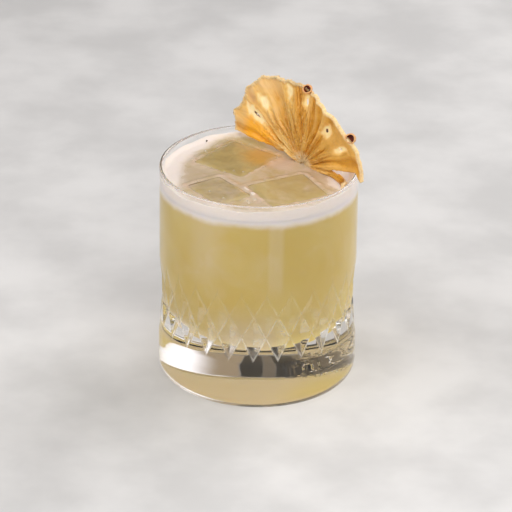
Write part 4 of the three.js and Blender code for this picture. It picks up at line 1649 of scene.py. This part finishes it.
@dataclass
class Bubbles:
    """Loose bubbles where foam, ice and wall meet."""

    singles: tuple[tuple[float, float, float], ...] = (
        (-20.4, -20.3, 0.55), (-14.5, -27.2, 0.75), (-8.2, -24.7, 0.6), (-1.7, -27.8, 0.8),
        (-4.0, -30.7, 0.6), (-22.9, 20.1, 0.6), (-27.9, 11.1, 0.7), (-6.6, -0.5, 0.55),
        (-10.6, 0.7, 0.5), (-4.7, -28.9, 0.45),
    )
    around_each_cube: int = 26
    smallest: float = 0.14
    largest: float = 0.36
    reach: float = 38.0
    level: float = 92.2
    beside: tuple[float, float] = (-1.2, 0.9)
    foam_level: float = 92.0
    sunk: float = 0.35
    seed: int = 12

    def build(self) -> bpy.types.Object:
        """Builds all bubbles as one piece."""
        draw = random.Random(self.seed)
        bm = bmesh.new()
        for x, y, radius in self.singles:
            self._add(bm, Vector((x, y, self.level)), radius)
        for cube in ICE_CUBES:
            for _ in range(self.around_each_cube):
                place = self._beside(cube, draw)
                if place.xy.length < self.reach:
                    self._add(bm, place, draw.uniform(self.smallest, self.largest))
        return finished(bm, "bubbles", BubbleSkin().material())

    def _beside(self, cube: IceCube, draw: random.Random) -> Vector:
        """Returns a random place just outside or on the edge of a cube."""
        half_a, half_b = cube.size[0] / 2, cube.size[1] / 2
        offset = draw.uniform(*self.beside)
        along = draw.uniform(-1, 1)
        sides = [
            (along * half_a, half_b + offset),
            (along * half_a, -half_b - offset),
            (half_a + offset, along * half_b),
            (-half_a - offset, along * half_b),
        ]
        flat = Matrix.Rotation(math.radians(cube.turn), 2) @ Vector(draw.choice(sides))
        height = cube.top[2] - self.sunk if offset < 0 else self.foam_level
        return Vector((cube.top[0] + flat.x, cube.top[1] + flat.y, height))

    @staticmethod
    def _add(bm: bmesh.types.BMesh, place: Vector, radius: float) -> None:
        """Adds one low dome."""
        made = bmesh.ops.create_icosphere(bm, subdivisions=2, radius=radius)
        bmesh.ops.scale(bm, vec=(1, 1, 0.8), verts=made["verts"])
        bmesh.ops.translate(bm, vec=place, verts=made["verts"])


@dataclass
class Specks:
    """The few dark specks of dried fruit on the foam and in the drink."""

    places: tuple[tuple[float, float, float, float], ...] = (
        (-143.0, 37.5, 92.6, 0.42), (75.0, 39.3, 76.2, 0.42),
        (74.0, 39.3, 77.8, 0.28), (73.6, 39.3, 75.4, 0.2),
    )

    def build(self) -> bpy.types.Object:
        """Builds all specks as one piece."""
        bm = bmesh.new()
        for turn, radius, height, size in self.places:
            made = bmesh.ops.create_icosphere(bm, subdivisions=2, radius=size)
            for vert in made["verts"]:
                vert.co *= 1 + 0.35 * noise.noise(vert.co * 3 + Vector((turn, 0, 0)))
            bmesh.ops.translate(bm, vec=around(radius, turn, height), verts=made["verts"])
        finish = PlainFinish("dark_speck", (0.03, 0.015, 0.008), 0.6, 1.5)
        return finished(bm, "fruit_specks", finish.material())


# Studio


@dataclass(frozen=True)
class Softbox:
    """A soft lamp that looks at the drink, with turns in degrees, sizes in metres and its power in watts."""

    name: str
    turn: float
    elevation: float
    distance: float
    width: float
    height: float
    power: float
    colour: Colour = (1.0, 1.0, 1.0)
    through_glass: bool = True


@dataclass(frozen=True)
class Room:
    """The light all round: dim, with a white card at the right, a warm one behind and two dark gaps."""

    dim: Colour = (0.16, 0.16, 0.165)
    warm: Colour = (0.31, 0.23, 0.145)
    brown: Colour = (0.115, 0.085, 0.052)
    gap: Colour = (0.014, 0.012, 0.010)
    between_gaps: Colour = (0.13, 0.10, 0.07)
    white: Colour = (1.30, 1.25, 1.27)

    def world(self) -> bpy.types.World:
        """Makes the room's light, with its cards placed by degrees from straight behind and by rise."""
        shader = Shader("room", world=True)
        x, y, z = shader.parts(shader.value("ShaderNodeTexCoord", output="Generated"))
        aside = shader.math("ARCTAN2", x, y) * (180 / math.pi)
        rise = shader.math("ARCSINE", z) * (180 / math.pi)
        low = rise.within(-5, 66, 2)
        light = shader.mix(aside.within(8, 34, 1.0) * low, self.dim, self.warm)
        light = shader.mix(aside.within(-70, -28, 1.0) * low, light, self.brown)
        gaps = (aside.within(-3, 7.5, 0.5) + aside.within(-28, -9, 0.5)).at_most(1.0)
        light = shader.mix(gaps * low, light, self.gap)
        light = shader.mix(aside.within(-9, -3, 0.5) * low, light, self.between_gaps)
        card = aside.smooth(16, 40) * aside.smooth(98, 94) * rise.within(6, 66, 2)
        light = shader.mix(card, light, self.white)
        glow = shader.value("ShaderNodeBackground", inputs={"Color": light, "Strength": 1.0})
        shader.node("ShaderNodeOutputWorld", inputs={"Surface": glow})
        return shader.owner


@dataclass
class Studio:
    """A pale floor, soft lamps, the room and the camera."""

    aim: tuple[float, float, float] = (0.0, 0.0, 48.0)
    distance: float = 1500.0
    elevation: float = 26.36
    roll: float = 0.728
    focal_pixels: float = 3516.7
    aim_pixel: tuple[float, float] = (257.82, 265.81)
    picture: float = 512.0
    sensor: float = 36.0
    foot_gap: float = 0.1
    softboxes: tuple[Softbox, ...] = (
        Softbox("key_left", -75, 36, 0.9, 0.6, 0.8, 2.5, (1.0, 0.98, 0.96)),
        Softbox("overhead", 15, 74, 0.9, 0.8, 0.8, 2.8),
        Softbox("front", 22, 40, 1.2, 0.7, 0.6, 4.9),
        Softbox("front_left", -42, 24, 1.2, 0.5, 0.5, 2.0),
        Softbox("back_right", 130, 28, 1.0, 0.9, 0.4, 4.2, through_glass=False),
    )
    room: Room = Room()

    def build(self) -> None:
        """Builds the floor, the lamps, the camera and the room."""
        self._floor()
        for box in self.softboxes:
            self._softbox(box)
        self._camera()
        bpy.context.scene.world = self.room.world()
        bpy.context.scene.view_settings.view_transform = "Standard"

    def _floor(self) -> None:
        """Makes the plain pale floor."""
        bm = bmesh.new()
        bmesh.ops.create_circle(bm, cap_ends=True, segments=96, radius=8.0)
        bmesh.ops.translate(bm, vec=(0, 0, -self.foot_gap * MM), verts=bm.verts)
        mesh = bpy.data.meshes.new("floor")
        bm.to_mesh(mesh)
        bm.free()
        mesh.materials.append(PlainFinish("pale_floor", (0.72, 0.71, 0.70), 0.8, 0.02).material())
        floor = bpy.data.objects.new("floor", mesh)
        bpy.context.scene.collection.objects.link(floor)

    def _softbox(self, box: Softbox) -> None:
        """Makes one soft lamp."""
        lamp = bpy.data.lights.new(box.name, "AREA")
        lamp.shape = "RECTANGLE"
        lamp.size = box.width
        lamp.size_y = box.height
        lamp.energy = box.power
        lamp.color = box.colour
        holder = bpy.data.objects.new(box.name, lamp)
        rise = math.radians(box.elevation)
        flat = around(box.distance * math.cos(rise), box.turn, 0)
        target = Vector(self.aim) * MM
        holder.visible_transmission = box.through_glass
        holder.location = target + flat + Vector((0, 0, box.distance * math.sin(rise)))
        holder.rotation_euler = (target - holder.location).to_track_quat("-Z", "Y").to_euler()
        bpy.context.scene.collection.objects.link(holder)

    def _camera(self) -> None:
        """Places the camera at the photograph's angle."""
        lens = bpy.data.cameras.new("camera")
        lens.sensor_width = self.sensor
        lens.lens = self.focal_pixels / self.picture * self.sensor
        lens.shift_x = (self.picture / 2 - self.aim_pixel[0]) / self.picture
        lens.shift_y = (self.aim_pixel[1] - self.picture / 2) / self.picture
        camera = bpy.data.objects.new("camera", lens)
        rise = math.radians(self.elevation)
        offset = Vector((0, -math.cos(rise), math.sin(rise))) * self.distance
        place = Matrix.Translation((Vector(self.aim) + offset) * MM)
        tilt = Matrix.Rotation(math.pi / 2 - rise, 4, "X")
        camera.matrix_world = place @ tilt @ Matrix.Rotation(math.radians(self.roll), 4, "Z")
        bpy.context.scene.collection.objects.link(camera)
        bpy.context.scene.camera = camera


def main() -> None:
    """Builds the pieces in order."""
    logging.basicConfig(level=logging.INFO, format="%(relativeCreated)6.0f ms  %(message)s")
    outline = TumblerOutline()
    Studio().build()
    Tumbler(outline).build()
    Cocktail(outline).build()
    FoamHead(outline).build()
    ice = WetIce().material()
    for cube in ICE_CUBES:
        cube.build(ice)
    PineappleSlice().build()
    Bubbles().build()
    Specks().build()


if __name__ == "__main__":
    main()
